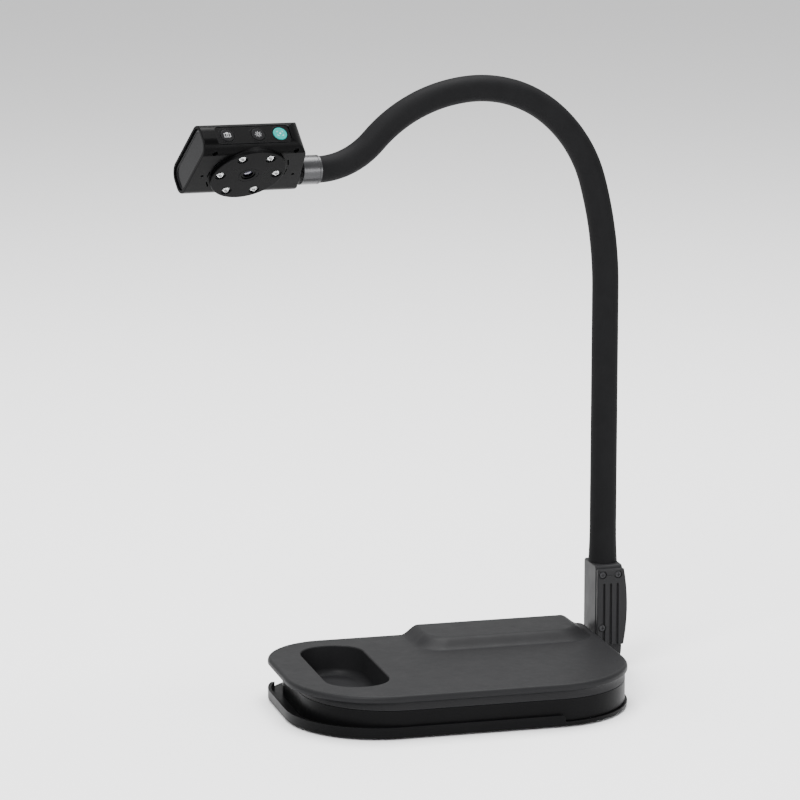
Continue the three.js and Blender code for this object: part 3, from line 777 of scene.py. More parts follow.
def gripBlock(name, grow, bottom, top, fillet):
    sizes = deckSizes
    low = (left + sizes["gripEdge"] - grow, front + sizes["gripFrontEdge"] - grow, bottom)
    high = (left + sizes["gripEdge"] + sizes["gripWidth"] + grow, back - sizes["gripBackEdge"] + grow, top)
    piece = block(name, low, high)
    roundEdges(piece, sizes["gripRadius"] + grow, 16, lambda at, way: abs(way.z) > 0.9)
    pick(piece, "FACE", lambda at, normal: normal.z < -0.9)
    bpy.ops.mesh.region_to_loop()
    roundPicked(fillet, 6)
    return piece


def makeDeck():
    sizes = deckSizes
    deck = deckUnderside()
    cover = block("cover", (left - 30 * mm, front - 30 * mm, 0), (right + 30 * mm, back + 30 * mm, sizes["top"]))
    weld(cover, humpBlock("hump", sizes["humpTop"], sizes["top"] - 0.05 * mm))
    combine(deck, cover, "INTERSECT")
    pick(deck, "FACE", lambda at, normal: normal.z > 0.3)
    bpy.ops.mesh.region_to_loop()
    roundPicked(sizes["edgeRadius"], 5)
    hollow = outlineBlock("hollow", 5 * mm, sizes["top"] - sizes["thickness"], inner(baseSizes["wall"]))
    cutAway(deck, hollow)
    cup = gripBlock("cup", baseSizes["wall"], sizes["gripFloor"] - baseSizes["wall"],
                    sizes["top"] - 1 * mm, sizes["gripFillet"])
    weld(deck, cup)
    well = gripBlock("well", 0, sizes["gripFloor"], sizes["humpTop"], sizes["gripFillet"])
    cutAway(deck, well)
    wellLeft = left + sizes["gripEdge"]
    wellRight = wellLeft + sizes["gripWidth"]
    wellFront = front + sizes["gripFrontEdge"]
    wellBack = back - sizes["gripBackEdge"]
    slack = 0.05 * mm
    inWell = lambda at: (wellLeft - slack < at.x < wellRight + slack
                         and wellFront - slack < at.y < wellBack + slack)
    roundEdges(deck, sizes["gripRim"], 4,
               lambda at, way: near(at.z, sizes["top"]) and inWell(at))
    return deck


pivotAt = Vector(joints["arm_fold"]["pos_m"])
pivotBore = 6.1 * mm


def boreThroughSide(piece):
    cutAway(piece, drum("bore", pivotBore, (right - 14 * mm, pivotAt.y, pivotAt.z),
                        (right + 5 * mm, pivotAt.y, pivotAt.z), 48))


deck = makeDeck()
boreThroughSide(deck)
soften(deck, 0.25 * mm)
handOver(deck, "base", deckPlastic, ["base_deck"])
print("deck made", len(deck.data.polygons))

middleSizes = {"bottom": 4.3 * mm, "top": 18.3 * mm, "edge": 0.45 * mm, "socketPlay": 0.5 * mm}


def makeMiddleShell():
    sizes = middleSizes
    shell = outlineBlock("baseMiddleShell", sizes["bottom"], sizes["top"], baseSizes["inset"])
    room = outlineBlock("room", sizes["bottom"] - 5 * mm, sizes["top"] + 5 * mm, inner(baseSizes["wall"]))
    cutAway(shell, room)
    boreThroughSide(shell)
    low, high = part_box("usb_socket")
    play = Vector((sizes["socketPlay"],) * 3)
    mouth = block("mouth", low - play, high + play + Vector((0, 10 * mm, 0)))
    roundEdges(mouth, 1.6 * mm, 5, lambda at, way: abs(way.y) > 0.9)
    cutAway(shell, mouth)
    return soften(shell, sizes["edge"])


handOver(makeMiddleShell(), "base", shellPlastic, ["base_middle_shell"])

traySizes = {
    "bottom": 1.2 * mm,
    "top": 4.0 * mm,
    "rimTop": 8.4 * mm,
    "rimWall": 2 * mm,
    "rimEnd": 57 * mm,              # from the middle of the base
    "rimBackEdge": 22 * mm,
    "rimNose": 3.2 * mm,
    "lowerEdge": 1.0 * mm,
    "edge": 0.55 * mm,
}


def makeTray():
    # floor of the base, with a rim round the front and the left
    sizes = traySizes
    middle = (left + right) / 2
    far = 5 * mm
    tray = outlineBlock("baseTray", sizes["bottom"], sizes["rimTop"])
    pick(tray, "FACE", lambda at, normal: normal.z < -0.9)
    bpy.ops.mesh.region_to_loop()
    roundPicked(sizes["lowerEdge"], 3)
    cutAway(tray, outlineBlock("room", sizes["top"], sizes["rimTop"] + far, (sizes["rimWall"],) * 4))
    rightPart = block("rightPart", (middle + sizes["rimEnd"], front - far, sizes["top"]),
                      (right + far, back + far, sizes["rimTop"] + far))
    cutAway(tray, rightPart)
    backPart = block("backPart", (left + 44 * mm, middle, sizes["top"]),
                     (right + far, back + far, sizes["rimTop"] + far))
    cutAway(tray, backPart)
    leftPart = block("leftPart", (left - far, back - sizes["rimBackEdge"], sizes["top"]),
                     (right, back + far, sizes["rimTop"] + far))
    cutAway(tray, leftPart)
    rimEnd = middle + sizes["rimEnd"]
    roundEdges(tray, sizes["rimNose"], 5,
               lambda at, way: near(at.x, rimEnd) and near(at.z, sizes["rimTop"]) and abs(way.y) > 0.5)
    return soften(tray, sizes["edge"], 3)


handOver(makeTray(), "base", shellPlastic, ["base_tray"])
print("base shells made")

footSizes = {"edge": 0.5 * mm, "rim": 1.4 * mm, "dish": 0.35 * mm}


def makeFeet():
    low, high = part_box("foot_1")
    radius = (high.x - low.x) / 2
    first = drum("footModel", radius, (0, 0, low.z), (0, 0, high.z), 48)
    pick(first, "FACE", lambda at, normal: normal.z < -0.9)
    bpy.ops.mesh.inset(thickness=footSizes["rim"], depth=0)
    bpy.ops.mesh.extrude_region_move(TRANSFORM_OT_translate={"value": (0, 0, footSizes["dish"])})
    bpy.ops.object.mode_set(mode="OBJECT")
    soften(first, footSizes["edge"] * 0.3, 2)
    for number in range(1, 5):
        low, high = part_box(f"foot_{number}")
        foot = moveBy(copyOf(first, f"rubberFoot_{number}"), ((low.x + high.x) / 2, (low.y + high.y) / 2, 0))
        handOver(foot, "base", footRubber, [f"foot_{number}"])
    bpy.data.objects.remove(first, do_unlink=True)


makeFeet()


def makeSocket():
    # folded metal shell with the contact tongue inside
    low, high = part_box("usb_socket")
    wallOfShell = 0.5 * mm
    shell = block("usbSocketShell", low, high)
    roundEdges(shell, 1.5 * mm, 5, lambda at, way: abs(way.y) > 0.9)
    thin = Vector((wallOfShell, 0, wallOfShell))
    room = block("room", low + thin + Vector((0, 3 * mm, 0)), high - thin + Vector((0, 3 * mm, 0)))
    roundEdges(room, 1.1 * mm, 5, lambda at, way: abs(way.y) > 0.9)
    cutAway(shell, room)
    soften(shell, 0.12 * mm)
    handOver(shell, "base", zinc, ["usb_socket"])
    middle = (low + high) / 2
    tongue = block("usbSocketTongue", (middle.x - 3.4 * mm, low.y + 2 * mm, middle.z - 0.6 * mm),
                   (middle.x + 3.4 * mm, high.y - 1.5 * mm, middle.z + 0.6 * mm))
    soften(tongue, 0.3 * mm)
    handOver(tongue, "base", capPlastic)


makeSocket()
print("feet and socket made")


# ---- Arm holder ----

housingLow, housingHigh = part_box("holder_housing")
coverLow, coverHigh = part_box("holder_cover")
neckFoot = Vector(joints["neck_bend_1"]["pos_m"])
holderSizes = {
    "wall": 2 * mm,
    "roundBottom": 13.4 * mm,
    "topEdge": 2.6 * mm,
    "sideEdge": 1.1 * mm,
    "neckBore": 4.6 * mm,
    "bulge": 2.4 * mm,
    "bulgeRadius": 141.7 * mm,
    "grooves": 3,
    "grooveWidth": 1.5 * mm,
    "grooveSpread": 1.35,
    "grooveDepth": 1.5 * mm,
    "grooveTopEdge": 10 * mm,
    "bandTop": 2.2 * mm,
    "bandHeight": 4.2 * mm,
    "screwRecess": 2.7 * mm,
}


def makeHousing():
    sizes = holderSizes
    low, high = housingLow, housingHigh
    housing = block("holderHousing", low, high)
    roundEdges(housing, sizes["roundBottom"], 16, lambda at, way: near(at.z, low.z) and abs(way.x) > 0.9)
    roundEdges(housing, sizes["topEdge"], 5, lambda at, way: near(at.z, high.z) and abs(way.x) > 0.9)
    soften(housing, sizes["sideEdge"], 3)
    inset = Vector((sizes["wall"],) * 3)
    room = block("room", low + inset, high - inset)
    roundEdges(room, sizes["roundBottom"] - sizes["wall"], 12,
               lambda at, way: near(at.z, low.z + sizes["wall"]) and abs(way.x) > 0.9)
    cutAway(housing, room)
    cutAway(housing, drum("bore", sizes["neckBore"], (neckFoot.x, neckFoot.y, high.z - 8 * mm),
                          (neckFoot.x, neckFoot.y, high.z + 5 * mm)))
    cutAway(housing, drum("pivotBore", 4.4 * mm, (low.x - 3 * mm, pivotAt.y, pivotAt.z),
                          (low.x + 6 * mm, pivotAt.y, pivotAt.z), 40))
    return soften(housing, 0.2 * mm)


def makeRibbedCover():
    # plate with a bulged outer edge, a band across its top and grooves down its face
    sizes = holderSizes
    low, high = coverLow, coverHigh
    cover = block("holderCover", low, high)
    middle = (low.z + high.z) / 2
    curve = drum("curve", sizes["bulgeRadius"], (high.x - sizes["bulgeRadius"], low.y - 5 * mm, middle),
                 (high.x - sizes["bulgeRadius"], high.y + 5 * mm, middle), 384)
    combine(cover, curve, "INTERSECT")
    soften(cover, 0.7 * mm, 3)
    band = block("band", (low.x + 1.6 * mm, low.y - 0.5 * mm, high.z - sizes["bandTop"] - sizes["bandHeight"] / 2),
                 (high.x - 5.2 * mm, low.y + 1 * mm, high.z - 0.6 * mm))
    roundEdges(band, 0.45 * mm, 4, lambda at, way: near(at.y, low.y - 0.5 * mm))
    weld(cover, band)
    faceWidth = housingHigh.x - housingLow.x
    for number in range(1, sizes["grooves"] + 1):
        place = low.x + faceWidth * number / (sizes["grooves"] + 1)
        half = sizes["grooveWidth"] / 2
        groove = block("groove", (place - half, low.y - 3 * mm, low.z - 3 * mm),
                       (place + half, low.y + sizes["grooveDepth"], high.z - sizes["grooveTopEdge"]))
        pick(groove, "FACE", lambda at, normal: normal.z < -0.9)
        bpy.ops.transform.resize(value=(sizes["grooveSpread"], 1, 1), center_override=(place, 0, 0))
        bpy.ops.object.mode_set(mode="OBJECT")
        roundEdges(groove, 0.6 * mm, 4, lambda at, way: near(at.z, high.z - sizes["grooveTopEdge"]))
        cutAway(cover, groove)
    for number in range(1, 4):
        screwLow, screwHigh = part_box(f"cover_screw_{number}")
        at = (screwLow + screwHigh) / 2
        cutAway(cover, drum("recess", sizes["screwRecess"], (at.x, low.y - 5 * mm, at.z),
                            (at.x, screwLow.y + 1.0 * mm, at.z), 40))
        cutAway(cover, drum("hole", 1.6 * mm, (at.x, low.y - 5 * mm, at.z), (at.x, high.y + 5 * mm, at.z), 32))
    return soften(cover, 0.18 * mm)


handOver(makeHousing(), "holder", holderPlastic, ["holder_housing"])
handOver(makeRibbedCover(), "holder", holderPlastic, ["holder_cover"])


def screwModel(name, headRadius, headDepth, shankRadius, length):
    # pan-head screw along +Z with a cross recess, its head's top at the origin
    screw = drum(name, headRadius, (0, 0, -headDepth), (0, 0, 0), 40)
    pick(screw, "FACE", lambda at, normal: normal.z > 0.9)
    bpy.ops.mesh.region_to_loop()
    roundPicked(headDepth * 0.5, 4)
    weld(screw, drum("shank", shankRadius, (0, 0, -length), (0, 0, -headDepth * 0.5), 24, shankRadius))
    arm, half = headRadius * 0.55, headRadius * 0.13
    for sides in ((arm, half), (half, arm)):
        slot = block("slot", (-sides[0], -sides[1], -headDepth * 0.7), (sides[0], sides[1], 1 * mm))
        cutAway(screw, slot)
    return soften(screw, headRadius * 0.03)


def makeCoverScrews():
    low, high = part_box("cover_screw_1")
    first = screwModel("screwModel", (high.x - low.x) / 2, 1.0 * mm, 1.15 * mm, high.y - low.y)
    first.rotation_euler = (math.pi / 2, 0, 0)
    settle(first)
    for number in range(1, 4):
        low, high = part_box(f"cover_screw_{number}")
        screw = moveBy(copyOf(first, f"coverScrew_{number}"), ((low.x + high.x) / 2, low.y, (low.z + high.z) / 2))
        handOver(screw, "holder", blackSteel, [f"cover_screw_{number}"])
    bpy.data.objects.remove(first, do_unlink=True)


makeCoverScrews()
print("holder made")


# ---- Gooseneck ----

neckSizes = {
    "radius": 9.1 * mm,
    "footRadius": 9.85 * mm,
    "endRadius": 8.75 * mm,
    "sides": 48,
    "step": 2.2 * mm,
    "bendReach": 21 * mm,
    "collarGap": 0.15 * mm,
}


def neckStations():
    # bends of the neck and the middles between them, each with the way that the neck runs there
    bends = [Vector(joints[f"neck_bend_{number}"]["pos_m"]) for number in range(1, 9)]
    bends.append(Vector(joints["head_swivel"]["pos_m"]))
    way = Vector((0, 0, 1))
    stations = [(Vector((bends[0].x, bends[0].y, housingHigh.z + 0.1 * mm)), way)]
    for start, end in zip(bends, bends[1:]):
        chord = (end - start).normalized()
        lean = way.angle(chord)
        stations.append((start, way))
        if lean < 1e-4:
            stations.append(((start + end) / 2, way))
        else:
            axis = way.cross(chord).normalized()
            centre = start + axis.cross(way) * (end - start).length / (2 * math.sin(lean))
            turn = Matrix.Rotation(lean, 3, axis)
            stations.append((centre + turn @ (start - centre), turn @ way))
            way = (Matrix.Rotation(2 * lean, 3, axis) @ way).normalized()
    stations.append((bends[-1], way))
    return stations


def carryRing(start, way, end):
    # draws the picked ring on along the arc that leaves start in its own direction and reaches end
    chord = end - start
    lean = way.angle(chord)
    steps = max(4, round(chord.length / neckSizes["step"]))
    if lean < 1e-4:
        for _ in range(steps):
            bpy.ops.mesh.extrude_region_move(TRANSFORM_OT_translate={"value": tuple(chord / steps)})
    else:
        axis = way.cross(chord).normalized()
        centre = start + axis.cross(way) * chord.length / (2 * math.sin(lean))
        bpy.ops.mesh.spin(steps=steps, angle=-2 * lean, center=centre, axis=axis)


def neckRadius(share):
    return neckSizes["radius"] + (neckSizes["endRadius"] - neckSizes["radius"]) * share


def makeSleeve(number, start, bend, end):
    # one length of the sleeve, from the middle of one link past a bend to the middle of the next
    deselectAll()
    bpy.ops.mesh.primitive_circle_add(
        vertices=neckSizes["sides"],
        radius=neckSizes["footRadius"] if number == 1 else neckRadius(number / 8),
        fill_type="NGON",
        location=start[0],
        rotation=start[1].to_track_quat("Z", "Y").to_euler(),
    )
    sleevePiece = bpy.context.object
    sleevePiece.name = f"neckSleeve_{number}"
    settle(sleevePiece)
    bpy.ops.object.mode_set(mode="EDIT")
    bpy.ops.mesh.select_all(action="SELECT")
    if number == 1:
        flareOut(start[0], bend[0])
    else:
        carryRing(start[0], start[1], bend[0])
    carryRing(bend[0], bend[1], end[0])
    bpy.ops.mesh.select_all(action="SELECT")
    bpy.ops.mesh.normals_make_consistent(inside=False)
    bpy.ops.object.mode_set(mode="OBJECT")
    return sleevePiece


def flareOut(start, end):
    # the sleeve's foot narrows upwards from the holder
    steps = 12
    radii = [neckRadius(1 / 8) + (neckSizes["footRadius"] - neckRadius(1 / 8)) * (1 - step / steps) ** 2
             for step in range(steps + 1)]
    for before, after in zip(radii, radii[1:]):
        bpy.ops.mesh.extrude_region_move(TRANSFORM_OT_translate={"value": tuple((end - start) / steps)})
        bpy.ops.transform.resize(value=(after / before, after / before, 1), center_override=tuple(start))


def makeNeck():
    stations = neckStations()
    for number in range(1, 9):
        start, bend, end = stations[2 * number - 2:2 * number + 1]
        if number == 8:
            # the last length runs on to the collar
            end = stations[-1]
        piece = makeSleeve(number, start, bend, end)
        smoothShade(piece, 60)
        piece.data.materials.append(sleeve)
        replaced = [f"neck_link_{number}"] + (["neck_root"] if number == 1 else [])
        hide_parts(*replaced)
        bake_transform(piece)


makeNeck()
print("neck made")


# ---- Camera head ----

headX = Vector(joints["head_swivel"]["axis"]).normalized()
headY = -Vector(joints["snapshot_press"]["axis"]).normalized()
headZ = headX.cross(headY).normalized()
headSizes = {
    "length": 81.6 * mm,              # side away from the buttons
    "shortLength": 71 * mm,
    "width": 55 * mm,
    "thickness": 22.5 * mm,
    "edge": 8.5 * mm,
    "longCorner": 9 * mm,
    "shortCorner": 11 * mm,
    "endEdge": 2.6 * mm,
    "wall": 2 * mm,
    "seam": -6 * mm,
    "seamGap": 0.15 * mm,
    "neckY": -14.4 * mm,
    "neckZ": 1.5 * mm,
    "collarLength": 13.6 * mm,
    "collarRadius": 9.6 * mm,
    "collarPlay": 0.6 * mm,
    "lampX": 38 * mm,
    "lampRadius": 25.2 * mm,
    "lampLedge": 3 * mm,
    "lampRise": 2.3 * mm,
    "lampGap": 0.25 * mm,
    "ledCircle": 19.6 * mm,
    "ledRadius": 2.5 * mm,
    "buttonRadius": 4.7 * mm,
    "buttons": {"snapshot": 17.6 * mm, "lamp": 39.2 * mm, "focus": 54.6 * mm},
    "stripStart": 10 * mm,
    "stripEnd": 61.6 * mm,
    "stripHeight": 12.8 * mm,
    "stripSink": 0.9 * mm,
    "stripThickness": 1.5 * mm,
    "stripZ": 0.7 * mm,
    "stripCorner": 2.5 * mm,
}
swivelAt = Vector(joints["head_swivel"]["pos_m"])
headOrigin = (swivelAt
              - headX * (headSizes["length"] + headSizes["collarPlay"] + headSizes["collarLength"])
              - headY * headSizes["neckY"]
              - headZ * headSizes["neckZ"])
toHead = Matrix((
    (headX.x, headY.x, headZ.x, headOrigin.x),
    (headX.y, headY.y, headZ.y, headOrigin.y),
    (headX.z, headY.z, headZ.z, headOrigin.z),
    (0, 0, 0, 1),
))
halfWidth = headSizes["width"] / 2
lensFace = headSizes["thickness"] / 2
stripFace = halfWidth - headSizes["stripSink"]


def placeInHead(piece):
    # head pieces are made flat at the origin, X from the cap to the neck, Y to the buttons, Z out of the lens
    piece.matrix_world = toHead
    return settle(piece)


def headSolid(name, inset):
    sizes = headSizes
    far = 12 * mm
    y = halfWidth - inset
    z = lensFace - inset
    piece = block(name, (-far, -y, -z), (sizes["length"] + far, y, z))
    roundEdges(piece, sizes["edge"] - inset, 14, lambda at, way: abs(way.x) > 0.9)
    planY = y + 0.03 * mm
    longEnd = sizes["length"] - inset
    shortEnd = sizes["shortLength"] - inset
    plan = block("plan", (-far * 2, -planY, -lensFace - far), (longEnd, planY, lensFace + far))
    pick(plan, "EDGE", lambda at, way: near(at.x, longEnd) and near(at.y, planY))
    bpy.ops.transform.translate(value=(shortEnd - longEnd, 0, 0))
    bpy.ops.object.mode_set(mode="OBJECT")
    roundEdges(plan, sizes["longCorner"] - inset, 12,
               lambda at, way: near(at.x, longEnd) and near(at.y, -planY) and abs(way.z) > 0.9)
    roundEdges(plan, sizes["shortCorner"] - inset, 12,
               lambda at, way: near(at.x, shortEnd) and near(at.y, planY) and abs(way.z) > 0.9)
    return combine(piece, plan, "INTERSECT")


def stripBlock(name, grow, inside, outside):
    sizes = headSizes
    half = sizes["stripHeight"] / 2 + grow
    piece = block(name, (sizes["stripStart"] - grow, inside, sizes["stripZ"] - half),
                  (sizes["stripEnd"] + grow, outside, sizes["stripZ"] + half))
    roundEdges(piece, sizes["stripCorner"] + grow, 8, lambda at, way: abs(way.y) > 0.9)
    return piece


def lampDrum(name, radius, bottom, top, sides=64, at=(0, 0)):
    x = headSizes["lampX"] + at[0]
    return drum(name, radius, (x, at[1], bottom), (x, at[1], top), sides)


slotSizes = {"angles": (158, 182, 206, 20, -3, -24, -43), "circle": 27.1 * mm, "length": 6.4 * mm, "width": 0.95 * mm}
headHoles = {"screws": ((8 * mm, 21.5 * mm), (65 * mm, 21.5 * mm)), "screwRadius": 1.95 * mm,
             "pips": ((7 * mm, -2.4 * mm), (71.5 * mm, -4 * mm)), "pipRadius": 1.1 * mm}


def makeHeadShells():
    sizes = headSizes
    solid = headSolid("headFrontShell", 0)
    soften(solid, sizes["endEdge"], 6)
    weld(solid, lampDrum("boss", sizes["lampRadius"] - 0.3 * mm, 1 * mm, lensFace + sizes["lampGap"] * 0.6, 96))
    far = 40 * mm
    cutAway(solid, block("beforeCap", (-far, -far, -far), (0, far, far)))
    pick(solid, "FACE", lambda at, normal: normal.x < -0.9 and near(at.x, 0))
    bpy.ops.mesh.region_to_loop()
    roundPicked(0.5 * mm, 3)
    cutAway(solid, headSolid("room", sizes["wall"]))
    cutAway(solid, drum("neckBore", 5 * mm, (60 * mm, sizes["neckY"], sizes["neckZ"]),
                        (100 * mm, sizes["neckY"], sizes["neckZ"]), 48))
    backCover = copyOf(solid, "headBackCover")
    seam = sizes["seam"]
    cutAway(solid, block("under", (-far, -far, -far), (far * 3, far, seam + sizes["seamGap"])))
    cutAway(backCover, block("over", (-far, -far, seam - sizes["seamGap"]), (far * 3, far, far)))
    cutAway(solid, lampDrum("lampOpening", sizes["lampRadius"] - sizes["lampLedge"], 0, 30 * mm, 96))
    cutAway(solid, stripBlock("stripPocket", 0.25 * mm, stripFace - sizes["stripThickness"] - 1 * mm, 40 * mm))
    for x in sizes["buttons"].values():
        cutAway(solid, drum("buttonWay", 5.8 * mm, (x, 20 * mm, sizes["stripZ"]), (x, 40 * mm, sizes["stripZ"])))
    for angle in slotSizes["angles"]:
        half = slotSizes["length"] / 2, slotSizes["width"] / 2
        slot = block("slot", (-half[1], -half[0], 5 * mm), (half[1], half[0], 30 * mm))
        roundEdges(slot, slotSizes["width"] * 0.48, 4, lambda at, way: abs(way.z) > 0.9)
        turn = math.radians(angle)
        slot.rotation_euler = (0, 0, turn)
        slot.location = (sizes["lampX"] + slotSizes["circle"] * math.cos(turn), slotSizes["circle"] * math.sin(turn), 0)
        cutAway(solid, settle(slot))
    for x, y in headHoles["screws"]:
        cutAway(solid, drum("screwHole", headHoles["screwRadius"], (x, y, 4 * mm), (x, y, 30 * mm), 40))
    for x, y in headHoles["pips"]:
        cutAway(solid, drum("pip", headHoles["pipRadius"], (x, y, 5 * mm), (x, y, 30 * mm), 32))
    soften(solid, 0.22 * mm)
    soften(backCover, 0.22 * mm)
    return solid, backCover


frontShell, backCover = makeHeadShells()
handOver(placeInHead(frontShell), "head", headPlastic, ["head_front_shell"])
handOver(placeInHead(backCover), "head", headPlastic, ["head_back_cover"])
print("head shells made", len(frontShell.data.polygons))


def makeEndCap():
    # glossy cap let into the open end, slightly crowned
    inset = headSizes["wall"] + 0.25 * mm
    cap = block("headEndCap", (1.2 * mm, -halfWidth + inset, -lensFace + inset),
                (3.0 * mm, halfWidth - inset, lensFace - inset))
    roundEdges(cap, headSizes["edge"] - inset, 14, lambda at, way: abs(way.x) > 0.9)
    pick(cap, "FACE", lambda at, normal: normal.x < -0.9)
    bpy.ops.mesh.inset(thickness=0.9 * mm, depth=0)
    bpy.ops.mesh.inset(thickness=0.5 * mm, depth=0)
    bpy.ops.transform.translate(value=(0.35 * mm, 0, 0))
    bpy.ops.object.mode_set(mode="OBJECT")
    return soften(cap, 0.15 * mm)


handOver(placeInHead(makeEndCap()), "head", capPlastic, ["head_end_cap"])

lampSizes = {
    "edge": 0.55 * mm,
    "seatRadius": 3.7 * mm,
    "seatDepth": 0.5 * mm,
    "holeRadius": 2.8 * mm,
    "barrelRadius": 4.4 * mm,
    "ringRadius": 6.6 * mm,
    "ringGroove": 0.35 * mm,
    "ledDome": 2.9 * mm,
}
lampBottom = lensFace + headSizes["lampGap"]
lampTop = lensFace + headSizes["lampRise"]


def ledSpots():
    return [(headSizes["ledCircle"] * math.cos(math.radians(60 * i)),
             headSizes["ledCircle"] * math.sin(math.radians(60 * i))) for i in range(6)]


def makeLampCover():
    disc = lampDrum("lampCover", headSizes["lampRadius"], lampBottom, lampTop, 128)
    pick(disc, "FACE", lambda at, normal: normal.z > 0.9)
    bpy.ops.mesh.region_to_loop()
    roundPicked(lampSizes["edge"], 4)
    spigot = headSizes["lampRadius"] - headSizes["lampLedge"] - 0.3 * mm
    weld(disc, lampDrum("spigot", spigot, lensFace - 1 * mm, lampTop - 1 * mm, 96))
    for place in ledSpots():
        cutAway(disc, lampDrum("seat", lampSizes["seatRadius"], lampTop - lampSizes["seatDepth"], 30 * mm, 40, place))
        cutAway(disc, lampDrum("hole", lampSizes["holeRadius"], 0, 30 * mm, 40, place))
    groove = lampDrum("groove", lampSizes["ringRadius"] + lampSizes["ringGroove"], lampTop - 0.25 * mm, 30 * mm, 64)
    cutAway(groove, lampDrum("core", lampSizes["ringRadius"], 0, 40 * mm, 64))
    cutAway(disc, groove)
    cutAway(disc, lampDrum("lensHole", lampSizes["barrelRadius"] + 0.3 * mm, 0, 30 * mm, 48))
    return soften(disc, 0.16 * mm)


handOver(placeInHead(makeLampCover()), "head", lampPlastic, ["lamp_cover"])


def makeLeds():
    # clear domed lamp over a bright cup with a small emitter
    radius = headSizes["ledRadius"]
    dome = drum("ledModel", radius, (0, 0, 8.5 * mm), (0, 0, lensFace + 0.4 * mm), 32)
    pick(dome, "FACE", lambda at, normal: normal.z > 0.9)
    steps = 8
    for step in range(steps):
        now, after = math.pi / 2 * step / steps, math.pi / 2 * (step + 1) / steps * 0.98
        now = now * 0.98
        bpy.ops.mesh.extrude_region_move(TRANSFORM_OT_translate={
            "value": (0, 0, radius * (math.sin(after) - math.sin(now)))})
        share = math.cos(after) / math.cos(now)
        bpy.ops.transform.resize(value=(share, share, 1), center_override=(0, 0, 0))
    bpy.ops.object.mode_set(mode="OBJECT")
    cup = drum("cupModel", 2.05 * mm, (0, 0, 9.2 * mm), (0, 0, 11.6 * mm), 32, 2.3 * mm)
    cutAway(cup, drum("cupRoom", 0.8 * mm, (0, 0, 9.8 * mm), (0, 0, 11.8 * mm), 32, 2.25 * mm))
    weld(cup, block("emitter", (-0.5 * mm, -0.5 * mm, 9.7 * mm), (0.5 * mm, 0.5 * mm, 10.3 * mm)))
    hollow = drum("hollow", 2.35 * mm, (0, 0, 8 * mm), (0, 0, 11.7 * mm), 32)
    cutAway(dome, hollow)
    for number, (x, y) in enumerate(ledSpots(), start=1):
        shift = (headSizes["lampX"] + x, y, 0)
        led = moveBy(copyOf(dome, f"lampLed_{number}"), shift)
        handOver(placeInHead(led), "head", clearLed, [f"led_{number}"])
        reflector = moveBy(copyOf(cup, f"ledCup_{number}"), shift)
        handOver(placeInHead(reflector), "head", mirrorCup)
    for model in (dome, cup):
        bpy.data.objects.remove(model, do_unlink=True)


makeLeds()


def makeLens():
    barrel = lampDrum("lensBarrel", lampSizes["barrelRadius"], 0.3 * mm, lampTop - 0.6 * mm, 64)
    cutAway(barrel, lampDrum("throat", 2.6 * mm, 3 * mm, 30 * mm, 48))
    cutAway(barrel, lampDrum("seat", 3.2 * mm, lensFace - 0.6 * mm, 30 * mm, 48))
    pick(barrel, "FACE", lambda at, normal: normal.z > 0.9 and at.z > lensFace)
    bpy.ops.mesh.region_to_loop()
    roundPicked(0.25 * mm, 3)
    glass = lampDrum("lensGlass", 2.9 * mm, lensFace - 0.3 * mm, lensFace + 0.1 * mm, 48)
    pick(glass, "FACE", lambda at, normal: normal.z > 0.9)
    for share, rise in ((0.93, 0.22), (0.8, 0.2), (0.6, 0.16), (0.35, 0.08)):
        bpy.ops.mesh.extrude_region_move(TRANSFORM_OT_translate={"value": (0, 0, rise * mm)})
        bpy.ops.transform.resize(value=(share, share, 1), center_override=(headSizes["lampX"], 0, 0))
    bpy.ops.object.mode_set(mode="OBJECT")
    return barrel, glass


lensBarrel, glass = makeLens()
handOver(placeInHead(lensBarrel), "head", lampPlastic, ["lens_barrel"])
handOver(placeInHead(glass), "head", lensGlass, ["lens_glass"])
print("lamps and lens made")

buttonSizes = {"rise": 0.5 * mm, "flange": 0.8 * mm, "edge": 0.45 * mm, "play": 0.25 * mm,
               "bezel": 1.0 * mm, "bezelRise": 0.18 * mm, "ink": 0.05 * mm, "line": 0.22 * mm}


def buttonDrum(name, radius, inside, outside, x, sides=56):
    z = headSizes["stripZ"]
    return drum(name, radius, (x, inside, z), (x, outside, z), sides)


def makeStrip():
    strip = stripBlock("buttonStrip", 0, stripFace - headSizes["stripThickness"], stripFace)
    radius = headSizes["buttonRadius"] + buttonSizes["play"]
    for x in headSizes["buttons"].values():
        weld(strip, buttonDrum("bezel", radius + buttonSizes["bezel"], stripFace - 1 * mm,
                               stripFace + buttonSizes["bezelRise"], x))
    for x in headSizes["buttons"].values():
        cutAway(strip, buttonDrum("hole", radius, 10 * mm, 40 * mm, x))
    return soften(strip, 0.16 * mm, 3)


handOver(placeInHead(makeStrip()), "head", headPlastic, ["button_strip"])


def makeButton(name, x):
    # domed press button with a retaining flange
    under = stripFace - headSizes["stripThickness"] - 0.3 * mm
    button = buttonDrum(name, headSizes["buttonRadius"], under - 0.4 * mm, stripFace + buttonSizes["rise"], x)
    pick(button, "FACE", lambda at, normal: normal.y > 0.9)
    bpy.ops.mesh.region_to_loop()
    roundPicked(buttonSizes["edge"], 4)
    weld(button, buttonDrum("flange", headSizes["buttonRadius"] + 0.8 * mm, under - buttonSizes["flange"], under, x))
    return soften(button, 0.1 * mm)


def inkRing(name, x, z, outer, thickness):
    top = stripFace + buttonSizes["rise"] + buttonSizes["ink"]
    ring = drum(name, outer, (x, top - 0.15 * mm, z), (x, top, z), 40)
    return cutAway(ring, drum("core", outer - thickness, (x, 0, z), (x, 50 * mm, z), 40))


def inkBar(name, x, z, halfX, halfZ):
    top = stripFace + buttonSizes["rise"] + buttonSizes["ink"]
    return block(name, (x - halfX, top - 0.15 * mm, z - halfZ), (x + halfX, top, z + halfZ))


